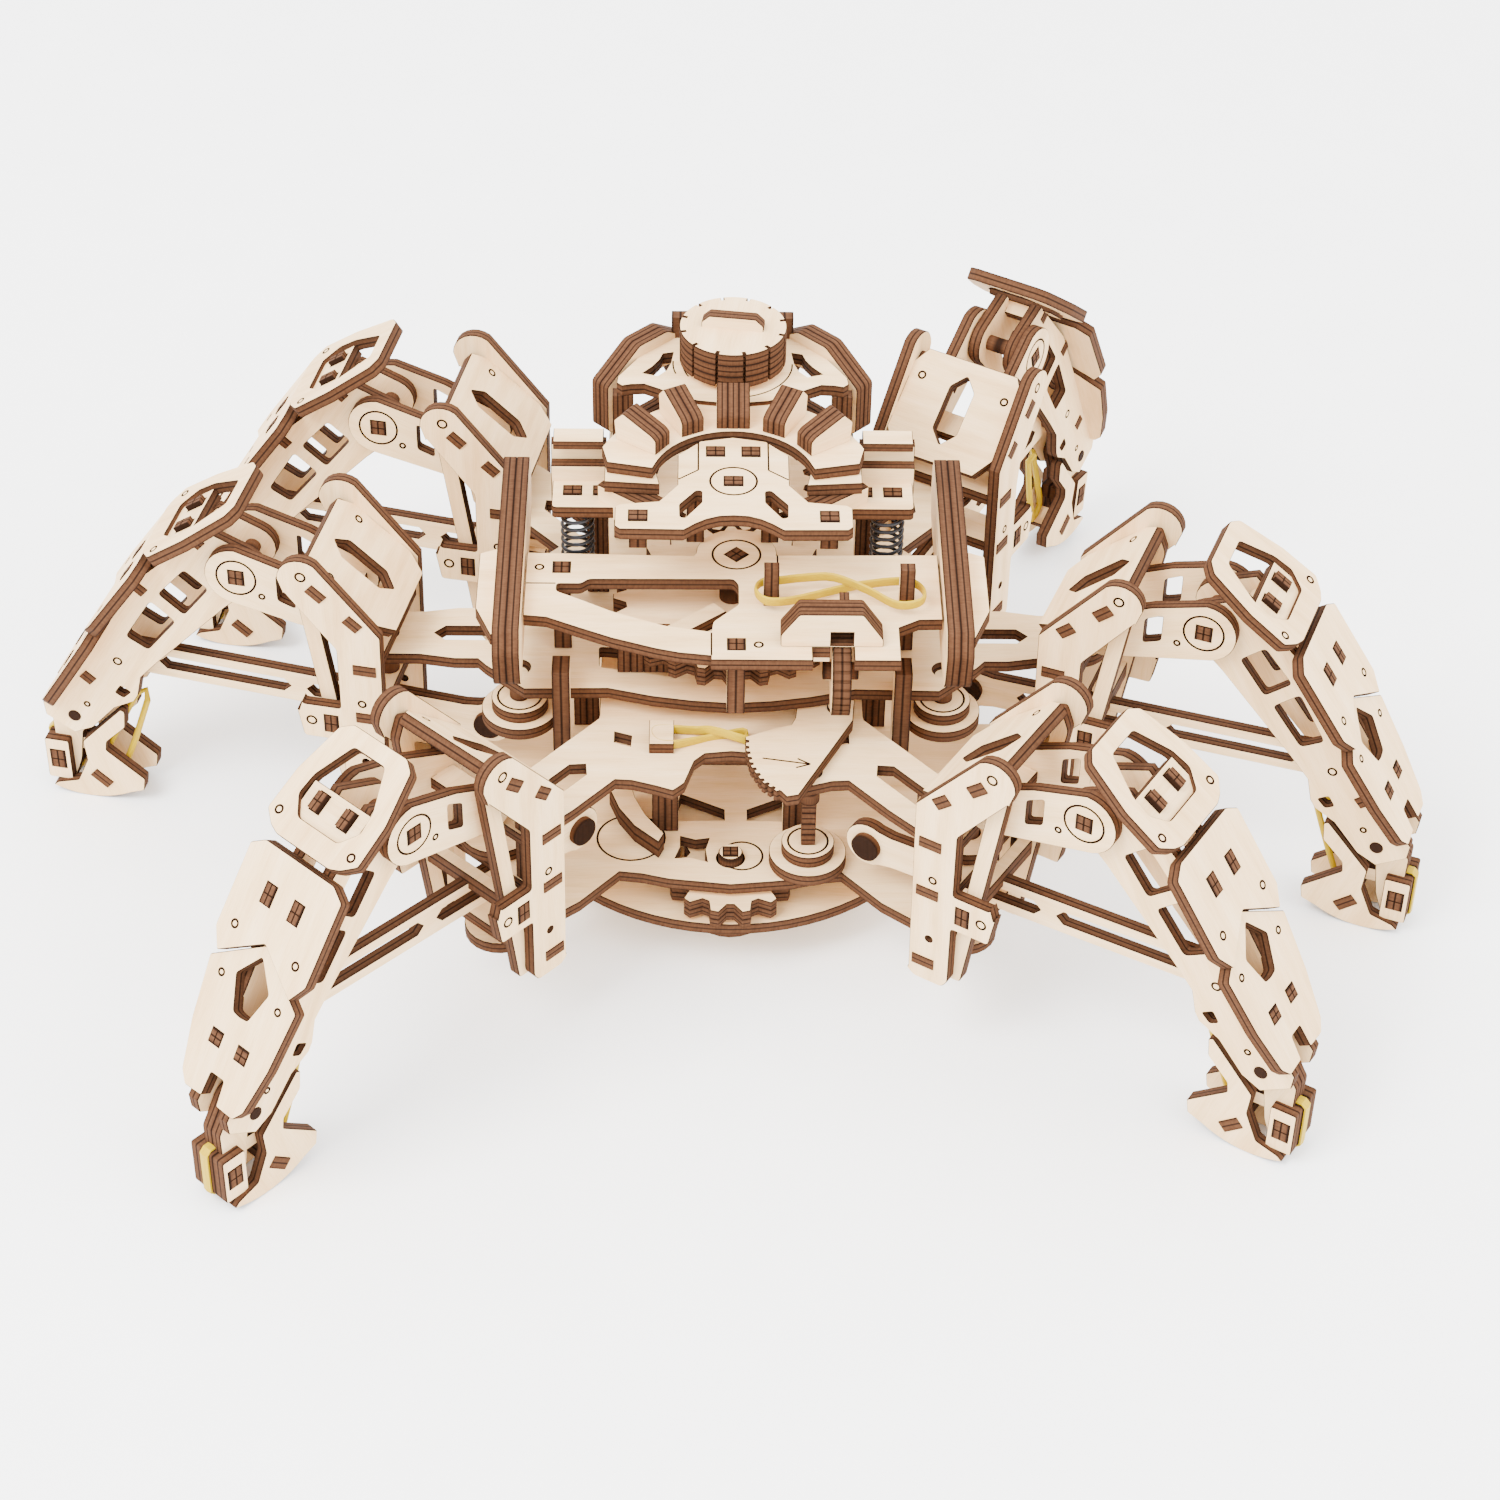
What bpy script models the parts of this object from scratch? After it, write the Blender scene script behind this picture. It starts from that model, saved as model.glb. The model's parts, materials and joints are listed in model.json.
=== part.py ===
"""Hexapod spider robot: a walking kit of laser-cut plywood, as separate pieces at their resting pose.

+Z is up, the robot faces -Y and the floor is z = 0.
Lengths below are millimetres, and MM turns them into metres.
Each leg is built once in its own frame (x outward from the hip pin, y across, z up) and placed six times.
"""

import math

import bmesh
import bpy
from mathutils import Matrix, Vector

MM = 0.001
PLY = 3.0
GAP = 0.3
WOOD = (0.86, 0.74, 0.55)
RUBBER = (0.93, 0.70, 0.05)
STEEL = (0.10, 0.10, 0.11)

# levels of the flat plates: the underside of each
DISC_Z = 11.0
GEAR_Z = 15.0
LOWER_Z = 21.0
FRONT_Z = 48.0
UPPER_Z = 55.0
DECK_Z = 77.0
FIN_Z = 90.0
BRIDGE_Z = 97.0
DOME_Z = 99.0
KNOB_Z = 103.5
TOP_GEAR_Z = 64.0
MODE_WHEEL_R = 10.0

# hip pins: place of the pin, then the way the leg points (degrees from +X)
HIP_REACH = 79.4
LEGS = {
    "FL": (229.5, 226.6),
    "FR": (-49.5, -32.8),
    "ML": (180.0, 167.8),
    "MR": (0.0, -22.0),
    "RL": (130.5, 168.8),
    "RR": (49.5, 58.8),
}

# leg joints in the leg frame (outward, up)
THIGH_PIVOT = (9.0, 68.0)
KNEE = (31.8, 75.4)
SHIN_PITCH = 41.0
ANKLE = 68.5
ROD_EYE_Z = 36.5
ROD_LENGTH = 86.0

# how a leg rests: thigh lift, shin pitch, how far in the rod's eye is, rod tilt
STANDING = (0.0, SHIN_PITCH, -24.0, 3.1)
LIFTED = {"RR": (18.0, 36.0, -30.2, 5.8)}

# the datum of the levels above is this far over the floor
SOLE_DEPTH = 0.77

# brings the middle of the whole walking pose over the origin
POSE_OFFSET = (1.75, -1.55)

BRACKET_HALF = 17.4
BRACE_HALF = 14.5
THIGH_HALF = 9.5
SHIN_HALF = 6.2
ARM_END = 8.0
PIN_R = 2.5

DRIVE_TEETH = 24
PINION_TEETH = 12
WINDING_TEETH = 18
TOOTH_PITCH_R = 1.095
PINION_Y = -TOOTH_PITCH_R * (DRIVE_TEETH + PINION_TEETH)
WINDING_Y = TOOTH_PITCH_R * (DRIVE_TEETH + WINDING_TEETH)

CRANK_FRONT = (17.5, -40.5)
CRANK_SIDE = (48.5, -12.5)
LEVER_PIVOT = (24.0, -22.0)
WHEEL_AXLE = (24.0, -28.0, 70.0)

KIT = bpy.data.collections.new("hexapod_spider_robot")
CUTTERS = bpy.data.collections.new("cutters")


# ---------------------------------------------------------------- shapes
def arc(cx, cy, r, start, end, steps=8):
    """Points of an arc, from one angle to another in degrees."""
    angles = [math.radians(start + (end - start) * i / steps) for i in range(steps + 1)]
    return [(cx + r * math.cos(a), cy + r * math.sin(a)) for a in angles]


def circle(cx, cy, r, sides=16):
    return arc(cx, cy, r, 0, 360 - 360 / sides, sides - 1)


def box_outline(x0, y0, x1, y1):
    return [(x0, y0), (x1, y0), (x1, y1), (x0, y1)]


def mirrored(half):
    """A closed outline from its right half, which runs up from the low end to the high end."""
    return half + [(-x, y) for x, y in reversed(half) if abs(x) > 1e-6]


def chamfered(points, cut):
    """The outline with every corner cut back by a length."""
    out = []
    for i, here in enumerate(points):
        p = Vector(here)
        for other in (points[i - 1], points[(i + 1) % len(points)]):
            way = Vector(other) - p
            out.append(tuple(p + way.normalized() * min(cut, way.length * 0.4)))
    return out


def solid_mesh(name, obj):
    """The evaluated mesh of an object, welded and facing out."""
    graph = bpy.context.evaluated_depsgraph_get()
    mesh = bpy.data.meshes.new_from_object(obj.evaluated_get(graph))
    mesh.name = name
    shape = bmesh.new()
    shape.from_mesh(mesh)
    bmesh.ops.remove_doubles(shape, verts=shape.verts, dist=1e-6)
    bmesh.ops.dissolve_degenerate(shape, edges=shape.edges, dist=1e-6)
    bmesh.ops.dissolve_limit(shape, angle_limit=math.radians(0.05), verts=shape.verts, edges=shape.edges)
    bmesh.ops.recalc_face_normals(shape, faces=shape.faces)
    shape.to_mesh(mesh)
    shape.free()
    return mesh


def helper(name, data, matrix=None):
    obj = bpy.data.objects.new(name, data)
    CUTTERS.objects.link(obj)
    obj.hide_render = True
    obj.display_type = "WIRE"
    if matrix is not None:
        obj.matrix_world = matrix
    return obj


def sheet(outline, holes=(), low=0.0, high=PLY, matrix=None):
    """A flat piece: the outline less its holes, from low to high along the plane's normal."""
    curve = bpy.data.curves.new("sheet", "CURVE")
    curve.dimensions = "2D"
    curve.fill_mode = "BOTH"
    curve.extrude = (high - low) / 2 * MM
    for points in (outline, *holes):
        spline = curve.splines.new("POLY")
        spline.points.add(len(points) - 1)
        for point, (x, y) in zip(spline.points, points):
            point.co = (x * MM, y * MM, 0, 1)
        spline.use_cyclic_u = True
    flat = helper("sheet", curve)
    bpy.context.view_layer.update()
    mesh = solid_mesh("sheet", flat)
    bpy.data.objects.remove(flat)
    bpy.data.curves.remove(curve)
    place = Matrix.Translation((0, 0, (low + high) / 2 * MM))
    mesh.transform((matrix or Matrix()) @ place)
    return mesh


def block(x0, y0, z0, x1, y1, z1):
    return sheet(box_outline(x0, y0, x1, y1), (), z0, z1)


def turned(cx, cy, r, z0, z1, sides=16):
    return sheet(circle(cx, cy, r, sides), (), z0, z1)


def joined(name, solids, cuts=()):
    """One closed mesh: the union of the solids, less the cuts."""
    base = helper("base", solids[0])
    tools = []
    for mesh, way in [(m, "UNION") for m in solids[1:]] + [(m, "DIFFERENCE") for m in cuts]:
        tool = helper("tool", mesh)
        step = base.modifiers.new(way.lower(), "BOOLEAN")
        step.operation = way
        step.object = tool
        step.solver = "EXACT"
        tools.append(tool)
    bpy.context.view_layer.update()
    mesh = solid_mesh(name, base)
    for obj in tools + [base]:
        bpy.data.objects.remove(obj)
    return mesh


def upright(y):
    """The frame of a sheet that stands in the x-z plane, its thickness centred at a y."""
    return Matrix.Translation((0, y * MM, 0)) @ Matrix.Rotation(math.radians(90), 4, "X")


def pair(outline, holes, inner, outer):
    """Two upright sheets, one on each side of the leg's middle plane."""
    middle, half = (inner + outer) / 2, (outer - inner) / 2
    return [sheet(outline, holes, -half, half, upright(side * middle)) for side in (-1, 1)]


def material(name, colour, roughness, metallic=0.0):
    mat = bpy.data.materials.new(name)
    mat.use_nodes = True
    shader = mat.node_tree.nodes["Principled BSDF"]
    shader.inputs["Base Color"].default_value = (*colour, 1)
    shader.inputs["Roughness"].default_value = roughness
    shader.inputs["Metallic"].default_value = metallic
    mat.diffuse_color = (*colour, 1)
    return mat


def place(name, mesh, colour=WOOD, matrix=None, parent=None):
    obj = bpy.data.objects.new(name, mesh)
    KIT.objects.link(obj)
    if not mesh.materials:
        roughness = {WOOD: 0.7, RUBBER: 0.45, STEEL: 0.35}[colour]
        mesh.materials.append(material(name, colour, roughness, float(colour == STEEL)))
    obj.parent = parent
    obj.matrix_local = matrix or Matrix()
    return obj


def empty(name, matrix, parent=None):
    obj = bpy.data.objects.new(name, None)
    KIT.objects.link(obj)
    obj.parent = parent
    obj.matrix_local = matrix
    return obj


def shift(x, y, z):
    return Matrix.Translation((x * MM, y * MM, z * MM))


def tilt(angle):
    """A turn in the leg's plane that swings the outward end up."""
    return Matrix.Rotation(math.radians(-angle), 4, "Y")


# turns a sheet drawn as (across, up) so that it faces along +x
FACING_OUT = Matrix(((0, 0, 1, 0), (1, 0, 0, 0), (0, 1, 0, 0), (0, 0, 0, 1)))


# ---------------------------------------------------------------- leg pieces
def hip_bracket_mesh():
    """Origin on the hip pin at the datum: two "7" plates, their braces, cross plates and the top panel."""
    seven = [(-3.8, 22), (-2, 20.5), (5, 20.5), (6.4, 22.5), (6.4, 38.5), (16, 38.5), (17, 46.5),
        (15.5, 48)]
    seven += [(6.4, 48), (6.4, 65), (17.9, 79.8)] + arc(13.6, 83.2, 5.6, 0, 125, 3) + [(-3.8, 70)]
    brace = [(2.5, 22.5), (4.2, 21), (8, 21), (16.5, 79), (14.5, 84), (10, 82), (2.5, 74)]
    window = [(5.2, 27), (12.2, 76.5), (5.2, 71)]
    solids = pair(seven, (), BRACE_HALF - 0.1, BRACKET_HALF) + pair(brace, (window,), 11.4, BRACE_HALF)
    reach = BRACKET_HALF - 1.2
    for outer, z in ((5.6, 24.4), (5.6, 44.7), (6.0, 58.6)):
        solids.append(block(-3, -reach, z, outer, reach, z + PLY))
    panel = mirrored([(0, -13.2), (11.0, -13.2), (16, -6), (16, 9.6), (12, 13.2), (0, 13.2)])
    hexagon = mirrored([(0, -8.5), (3.2, -5), (3.2, 6), (0, 9.5)])
    along = shift(4.9, 0, 75.5) @ tilt(41.5) @ Matrix.Rotation(math.radians(-90), 4, "Z")
    solids.append(sheet(panel, (hexagon,), -PLY / 2, PLY / 2, along))
    solids.append(turned(0, 0, PIN_R, 46.8, 59, 10))
    solids.append(turned(0, 0, PIN_R, 19.5, 25, 10))
    return joined("hip_bracket", solids)


def thigh_mesh():
    """Origin on the thigh pivot, at its resting angle."""
    kx, kz = KNEE[0] - THIGH_PIVOT[0], KNEE[1] - THIGH_PIVOT[1]
    side = arc(0, 0, 5.8, 95, 270, 4) + [(8, -3.8)] + arc(kx, kz, 7.5, -70, 90, 6) + [(10.5, 11)]
    window = [(9.2, 1.0), (13.2, 2.6), (13.2, 9.5), (9.2, 7.4)]
    solids = pair(side, (window,), THIGH_HALF - PLY, THIGH_HALF)
    reach = THIGH_HALF - 1
    solids.append(block(-3.0, -reach, -1.6, 3.5, reach, 1.6))
    solids.append(sheet(circle(kx, kz, 1.9, 8), (), -reach, reach, upright(0)))
    return joined("thigh", solids)


def shin_mesh():
    """Origin on the knee pin, hanging straight down: x is the shin's outer side."""
    side = arc(0, 0, 5.5, 70, 180, 3) + [(-4.2, -12), (-3.2, -45.5), (-6.0, -50.7), (-6.4, -53),
        (-4.4, -58.5)]
    side += [(-4.4, -68), (-2.4, -72.8), (5.5, -74), (8.2, -71.5), (9.0, -57), (14.2, -20), (12, 2)]
    windows = [[(1.6, -11), (8.6, -11), (8.6, -21.5), (1.0, -21.5)], [(1.2, -25), (8.6, -25),
        (6.4, -38), (0.6, -37)]]
    solids = pair(side, [circle(0, 0, 2.3, 8)] + windows, SHIN_HALF - PLY, SHIN_HALF)
    kneecap = mirrored([(0, -12.6), (10, -12.6), (13.6, -11), (13.6, 1), (10.2, 14), (0, 15)])
    cap_window = mirrored([(0, 3.2), (8.2, 3.2), (5.2, 11), (0, 11)])
    upper = mirrored([(0, -33.2), (11.2, -40.4), (14, -19), (14, -16.5), (10.4, -14.2), (0, -14.2)])
    lower = mirrored([(0, -64.6), (2, -64.6), (2.4, -70.4), (7.6, -70.6), (11, -58),
        (13.4, -42.6), (0, -33.6)])
    kite = mirrored([(0, -51.5), (2, -51.5), (5, -43), (0, -37.5)])
    for outline, holes, at, lean in (
        (kneecap, [cap_window], (14.4, 0), 15),
        (upper, [], (18.0, 0), -6),
        (lower, [kite], (19.3, 0), -9.5),
    ):
        frame = shift(at[0], 0, at[1]) @ tilt(lean) @ FACING_OUT
        solids.append(sheet(outline, holes, -PLY / 2, PLY / 2, frame))
    reach = SHIN_HALF - 1
    solids.append(block(8.8, -reach, -3.6, 14.2, reach, -0.6))
    solids.append(block(9.0, -reach, -25.5, 16.0, reach, -22.5))
    solids.append(block(1.0, -reach, -57.5, 9.6, reach, -54.5))
    solids.append(sheet(circle(0.7, -ANKLE, 1.6, 8), (), -reach, reach, upright(0)))
    return joined("shin", solids)


def foot_mesh():
    """Origin on the ankle pin, in the shin's frame: two claws, their cross block, hub and toe block."""
    claw = [(-6.0, -5.1), (-6.4, 10.6), (-7.6, 10.8), (-10.4, 6.9), (-10.0, -0.5), (-11.5, -2.8),
        (-23.2, -2.5)]
    claw += [(-25.2, -5.6)] + arc(-2.2, -1.2, 22.6, 200, 252, 5) + [(-9.4, -21.0), (-12.4, -16.2),
        (-10.2, -9.1)]
    solids = pair(claw, (), SHIN_HALF - PLY, SHIN_HALF)
    solids.append(block(-18.6, 1 - SHIN_HALF, -12.4, -13.4, SHIN_HALF - 1, -9.2))
    hub = arc(0, 0, 4.2, 0, 140, 4) + [(-5.2, -6), (-9.8, -13), (-12.6, -19.8), (-8.6, -20.6), (2.8, -8)]
    solids.append(sheet(hub, [circle(0, 0, 2.0, 8)], -2.8, 2.8, upright(0)))
    solids.append(block(-12.6, 1 - SHIN_HALF, -20.2, -10.6, SHIN_HALF - 1, -17.8))
    toe = tilt(-SHIN_PITCH)
    solids.append(sheet(box_outline(-3.5, -21.5, 2.6, -9.5),
        (), -5.2, 5.2, toe @ shift(6.6, 0, 0) @ upright(0)))
    solids.append(sheet(box_outline(-10.0, -13.5, -2.6, -9.8),
        (), -2.4, 2.4, toe @ shift(6.6, 0, 0) @ upright(0)))
    return joined("foot", solids)


def push_rod_mesh():
    """Origin on the rod's eye, the bar running along +x to the shin."""
    half = 4.3
    bar = arc(0, 0, 5.6, 60, 300, 6) + [(6, -half), (ROD_LENGTH, -half)]
    bar += arc(ROD_LENGTH, 0, half, -45, 45, 2) + [(ROD_LENGTH, half), (6, half)]
    holes = [pointed_slot(28, 32, 3.4), pointed_slot(64, 32, 3.4)]
    rod = sheet(bar, holes, -PLY / 2, PLY / 2, upright(0))
    pin = sheet(circle(0, 0, 3.4, 10), (), -3.2, 3.2, upright(0))
    return joined("push_rod", [rod, pin])


def pointed_slot(middle, length, width):
    tip, shoulder, half = length / 2, length / 2 - width / 2, width / 2
    right = [(shoulder, -half), (tip, 0), (shoulder, half)]
    left = [(-shoulder, half), (-tip, 0), (-shoulder, -half)]
    return [(middle + x, y) for x, y in right + left]


def foot_band_mesh():
    """Stretched loop from the shin's hook down to the claws' cross block, in the ankle's frame."""
    outline = [(-8.0, 15.8), (-6.8, 13.6), (-12.6, -8.4), (-19.0, -8.6), (-19.4, -6.6), (-9.8, 15.4)]
    return sheet(outline, (), -1.6, 1.6, upright(0))


def build_legs(robot):
    meshes = {
        "hip_bracket": hip_bracket_mesh(),
        "thigh": thigh_mesh(),
        "shin": shin_mesh(),
        "foot": foot_mesh(),
        "push_rod": push_rod_mesh(),
        "foot_band": foot_band_mesh(),
    }
    for leg, (pin_at, points) in LEGS.items():
        lift, pitch, eye_x, rod_tilt = LIFTED.get(leg, STANDING)
        a = math.radians(pin_at)
        hip = shift(HIP_REACH * math.cos(a), HIP_REACH * math.sin(a), 0)
        hip_joint = empty(f"hip_joint_{leg}", hip @ Matrix.Rotation(math.radians(points), 4, "Z"), robot)
        thigh_joint = empty(f"thigh_joint_{leg}", shift(THIGH_PIVOT[0], 0,
            THIGH_PIVOT[1]) @ tilt(lift), hip_joint)
        knee = shift(KNEE[0] - THIGH_PIVOT[0], 0, KNEE[1] - THIGH_PIVOT[1]) @ tilt(pitch - lift)
        knee_joint = empty(f"knee_joint_{leg}", knee, thigh_joint)
        ankle_joint = empty(f"ankle_joint_{leg}", shift(0.7, 0, -ANKLE), knee_joint)
        rod_joint = empty(f"rod_joint_{leg}", shift(eye_x, 0, ROD_EYE_Z) @ tilt(rod_tilt), hip_joint)
        place(f"hip_bracket_{leg}", meshes["hip_bracket"], WOOD, None, hip_joint)
        place(f"thigh_{leg}", meshes["thigh"], WOOD, None, thigh_joint)
        place(f"shin_{leg}", meshes["shin"], WOOD, None, knee_joint)
        place(f"foot_{leg}", meshes["foot"], WOOD, None, ankle_joint)
        place(f"foot_band_{leg}", meshes["foot_band"], RUBBER, None, ankle_joint)
        place(f"push_rod_{leg}", meshes["push_rod"], WOOD, None, rod_joint)


# ---------------------------------------------------------------- body pieces
def arm(angle, inner, half, neck=ARM_END):
    """An arm from the body to a hip pin, with a round end."""
    outline = [(inner, -half), (HIP_REACH - 16, -half), (HIP_REACH - 8, -neck)]
    outline += arc(HIP_REACH, 0, neck, -90, 90, 5) + [(HIP_REACH - 8, neck)]
    outline += [(HIP_REACH - 16, half), (inner, half)]
    return Matrix.Rotation(math.radians(angle), 4, "Z"), outline


def armed_plate(name, core, holes, angles, z, half=9.5, inner=34.0, slotted=True):
    """A flat plate with an arm towards each of the given angles."""
    solids = [sheet(core, holes, z, z + PLY)]
    cuts = []
    for angle in angles:
        turn, outline = arm(angle, inner, half)
        solids.append(sheet(outline, (), z, z + PLY, turn))
        cuts.append(sheet(circle(HIP_REACH, 0, PIN_R + GAP, 10), (), z - 1, z + PLY + 1, turn))
        if slotted:
            window = pointed_slot(HIP_REACH - 20, 18, 5)
            cuts.append(sheet(window, (), z - 1, z + PLY + 1, turn))
    return solids, cuts


def lower_hip_plate():
    core = mirrored(
        [(0, -47.2), (20, -44.5), (33, -50), (42, -34), (44, -14), (44, 14), (42, 34), (33, 46),
            (18, 42), (0, 44)]
    )
    holes = [mirrored([(0, -33), (7, -32.5), (12, -27.5), (0, -29.5)]), circle(0, 0, 5, 16)]
    holes.append(circle(0, PINION_Y, 3.2, 12))
    solids, cuts = armed_plate("lower", core, holes, [a for a, _ in LEGS.values()], LOWER_Z,
        slotted=False)
    for side in (-1, 1):
        solids.append(block(side * 34 - 3, 8, LOWER_Z + 1, side * 34 + 3, 14, UPPER_Z - GAP))
    cuts.append(sheet(circle(*CRANK_FRONT, 2.7, 12), (), LOWER_Z - 1, LOWER_Z + PLY + 1))
    return joined("lower_hip_plate", solids, cuts)


def bottom_disc():
    solids = [sheet(circle(0, 0, 51, 48), [circle(0, 0, 3.2, 12)], DISC_Z, DISC_Z + PLY)]
    solids.append(turned(0, PINION_Y, 9, 7.4, DISC_Z + 0.5))
    for angle in (30, 90, 150, 205, 335):
        a = math.radians(angle)
        x, y = 44.5 * math.cos(a), 44.5 * math.sin(a)
        solids.append(turned(x, y, 3, DISC_Z + 1, LOWER_Z - GAP, 8))
    return joined("bottom_disc", solids)


def front_hip_plate():
    core = mirrored(
        [(0, -33), (6, -34), (7.8, -42.5), (13.1, -48.4), (22.3, -43.8), (33, -50), (38, -36),
            (30, -27), (30, 4), (0, 4)]
    )
    holes = [circle(0, 0, 3.8, 12)]
    solids, cuts = armed_plate("front", core, holes, [229.5, -49.5], FRONT_Z, half=8.5, inner=44)
    for side in (-1, 1):
        solids.append(block(side * 17 - 3, -30.5, LOWER_Z + PLY + GAP, side * 17 + 3, -25, FRONT_Z + 1))
    cuts.append(sheet(circle(*CRANK_FRONT, 2.7, 12), (), FRONT_Z - 1, FRONT_Z + PLY + 1))
    cuts.append(sheet(circle(*LEVER_PIVOT, 2.8, 12), (), FRONT_Z - 1, FRONT_Z + PLY + 1))
    return joined("front_hip_plate", solids, cuts)


def upper_hip_plate():
    core = mirrored(
        [(0, -24.3), (20, -22.4), (36, -19.2), (47, -20), (56, -12), (58, -8), (44, 9), (44, 30),
            (34, 44), (18, 38), (10, 53), (0, 55)]
    )
    holes = [circle(0, 0, 3.8, 12), circle(0, WINDING_Y, 3.8, 12)]
    solids, cuts = armed_plate("upper", core, holes, [0, 180, 49.5, 130.5], UPPER_Z)
    for side in (-1, 1):
        solids.append(block(side * 38.5 - 3, -24.5, 44.5, side * 38.5 + 3, -18.5, 66))
        cuts.append(sheet(circle(side * CRANK_SIDE[0], CRANK_SIDE[1], 2.7, 12),
            (), UPPER_Z - 1, UPPER_Z + PLY + 1))
    return joined("upper_hip_plate", solids, cuts)


def front_deck():
    outline = [(-46.6, 2), (-46.6, -21.2), (-41.5, -21.8), (-34, -26), (-22, -31.6), (-11, -34.6),
        (-4.9, -35.2)]
    outline += [(-4.9, -37), (21.6, -37), (21.6, -15.8), (26.4, -15.8), (26.4, -37), (36.4, -37),
        (36.4, -24.8)]
    outline += [(46.6, -22.4), (46.6, 2), (10, 2)] + arc(0, 1.5, 9, 10, 170, 6) + [(-10, 2)]
    window = [(-37, -10), (-37, -15.6), (-30, -20.5), (-18, -26), (-6, -29), (-6, -24),
        (-0.5, -18), (-0.5, -10.6), (-30, -8.6)]
    solids = [sheet(outline, [window, circle(0, 0, 3.8, 12)], DECK_Z, DECK_Z + PLY)]
    for x, y in ((-37.5, -4), (37.5, -4), (0.5, -31), (-37.5, -4)):
        if y < -20:
            solids.append(block(x - 2.5, y - 2.5, 62, x + 2.5, y + 2.5, DECK_Z + 1))
        else:
            solids.append(block(x - 2.5, y - 2.5, UPPER_Z + PLY + GAP, x + 2.5, y + 2.5, DECK_Z + 1))
    for x in (9.8, 38.9):
        solids.append(block(x - 2.0, -20, DECK_Z + 1, x + 2.0, -14.5, DECK_Z + PLY + 7))
    top = DECK_Z + PLY
    grip = [(13.5, 66), (21.6, 66), (21.6, top + 1.5), (26.4, top + 1.5), (26.4, 66), (34.5, 66),
        (34.5, top + 4), (29.5, top + 9), (18.5, top + 9), (13.5, top + 4)]
    solids.append(sheet(grip, (), -3, 3, upright(WHEEL_AXLE[1])))
    axle = shift(0, WHEEL_AXLE[1], WHEEL_AXLE[2]) @ FACING_OUT
    solids.append(sheet(circle(0, 0, 2.0, 8), (), 20, 28, axle))
    return joined("front_deck", solids)


def side_cheek():
    """Origin at the middle of the body, thickness from 47 to 53 across."""
    outline = [(-35, 79), (-33, 70), (-30, 67), (-20, 67), (30, 70), (34, 74), (34, 82), (31, 86),
        (20, 86), (-32, 84)]
    solids = [sheet(outline, (), 47.0, 53.0, FACING_OUT)]
    wing = [(52, 3.6), (57.3, 1.2), (57.3, -19), (53.6, -28.6), (52, -28.6)]
    solids.append(sheet(wing[::-1], (), DECK_Z, DECK_Z + PLY))
    return joined("side_cheek", solids)


def bridge():
    half = [(0, -11), (6, -12.3), (11, -16.3), (25.9, -15.8), (25.9, -7.2), (16.5, -5.8), (12.4, 0.5),
        (12.4, 11.8), (7.2, 18), (0, 19)]
    holes = [[(10.7, -12), (11.5, -12), (11.6, -7.4), (8.1, -1.7), (6.9, -1.5), (6.9, -6.1)]]
    holes += [[(-x, y) for x, y in reversed(holes[0])]]
    solids = [sheet(mirrored(half), holes, BRIDGE_Z, BRIDGE_Z + PLY)]
    for x in (-21.2, 21.2):
        solids.append(block(x - 2.2, -13.2, DECK_Z + PLY + GAP, x + 2.2, -8.8, BRIDGE_Z + 1))
    return joined("bridge", solids)


def fin_ring():
    ring = arc(0, 1.5, 32, -8, 188, 18) + arc(0, 1.5, 19.4, 188, -8, 14)
    solids = [sheet(ring, (), FIN_Z, FIN_Z + PLY)]
    for angle in (10, 50, 90, 130, 170):
        turn = shift(0, 1.5, 0) @ Matrix.Rotation(math.radians(angle), 4, "Z")
        fin = [(20, FIN_Z + 1), (28, FIN_Z + 1), (30, FIN_Z + 8), (29, FIN_Z + 18),
            (22, FIN_Z + 18), (20, FIN_Z + 13)]
        wide = 4.4 if angle == 90 else 2.9
        solids.append(sheet(fin, (), -wide, wide, turn @ upright(0)))
    for side in (-1, 1):
        x0, x1 = sorted((side * 24, side * 43))
        solids.append(block(x0, 4.8, FIN_Z - 2.6, x1, 14.5, FIN_Z + 0.4))
        solids.append(block(min(side * 31, side * 43), 15, FIN_Z - 9, max(side * 31, side * 43),
            21, FIN_Z + 8))
        solids.append(block(side * 31 - 2.5, 15.5, UPPER_Z + PLY + GAP, side * 31 + 2.5, 20.5, FIN_Z + 1))
        solids.append(block(min(side * 28.5, side * 43), 14.2, FIN_Z - 4, max(side * 28.5,
            side * 43), 18, FIN_Z + 0.2))
    return joined("fin_ring", solids)


def coil_spring():
    """Compression spring: a round wire wound in a helix, upright on the z axis."""
    low, high = UPPER_Z + 13, FIN_Z - 2.6 - GAP
    wire, coil, turns, steps, sides = 0.45, 3.4, 9.5, 9, 5
    count = int(turns * steps) + 1
    points, faces = [], []
    for i in range(count):
        a = 2 * math.pi * i / steps
        z = low + wire + (high - low - 2 * wire) * i / (count - 1)
        for k in range(sides):
            b = 2 * math.pi * k / sides
            r = coil + wire * math.cos(b)
            points.append((r * math.cos(a) * MM, r * math.sin(a) * MM, (z + wire * math.sin(b)) * MM))
    for i in range(count - 1):
        for k in range(sides):
            near, far = i * sides, (i + 1) * sides
            after = (k + 1) % sides
            faces.append((near + k, far + k, far + after, near + after))
    faces.append(tuple(range(sides)))
    faces.append(tuple(range((count - 1) * sides, count * sides))[::-1])
    mesh = bpy.data.meshes.new("coil_spring")
    mesh.from_pydata(points, [], faces)
    mesh.update()
    return mesh


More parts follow.
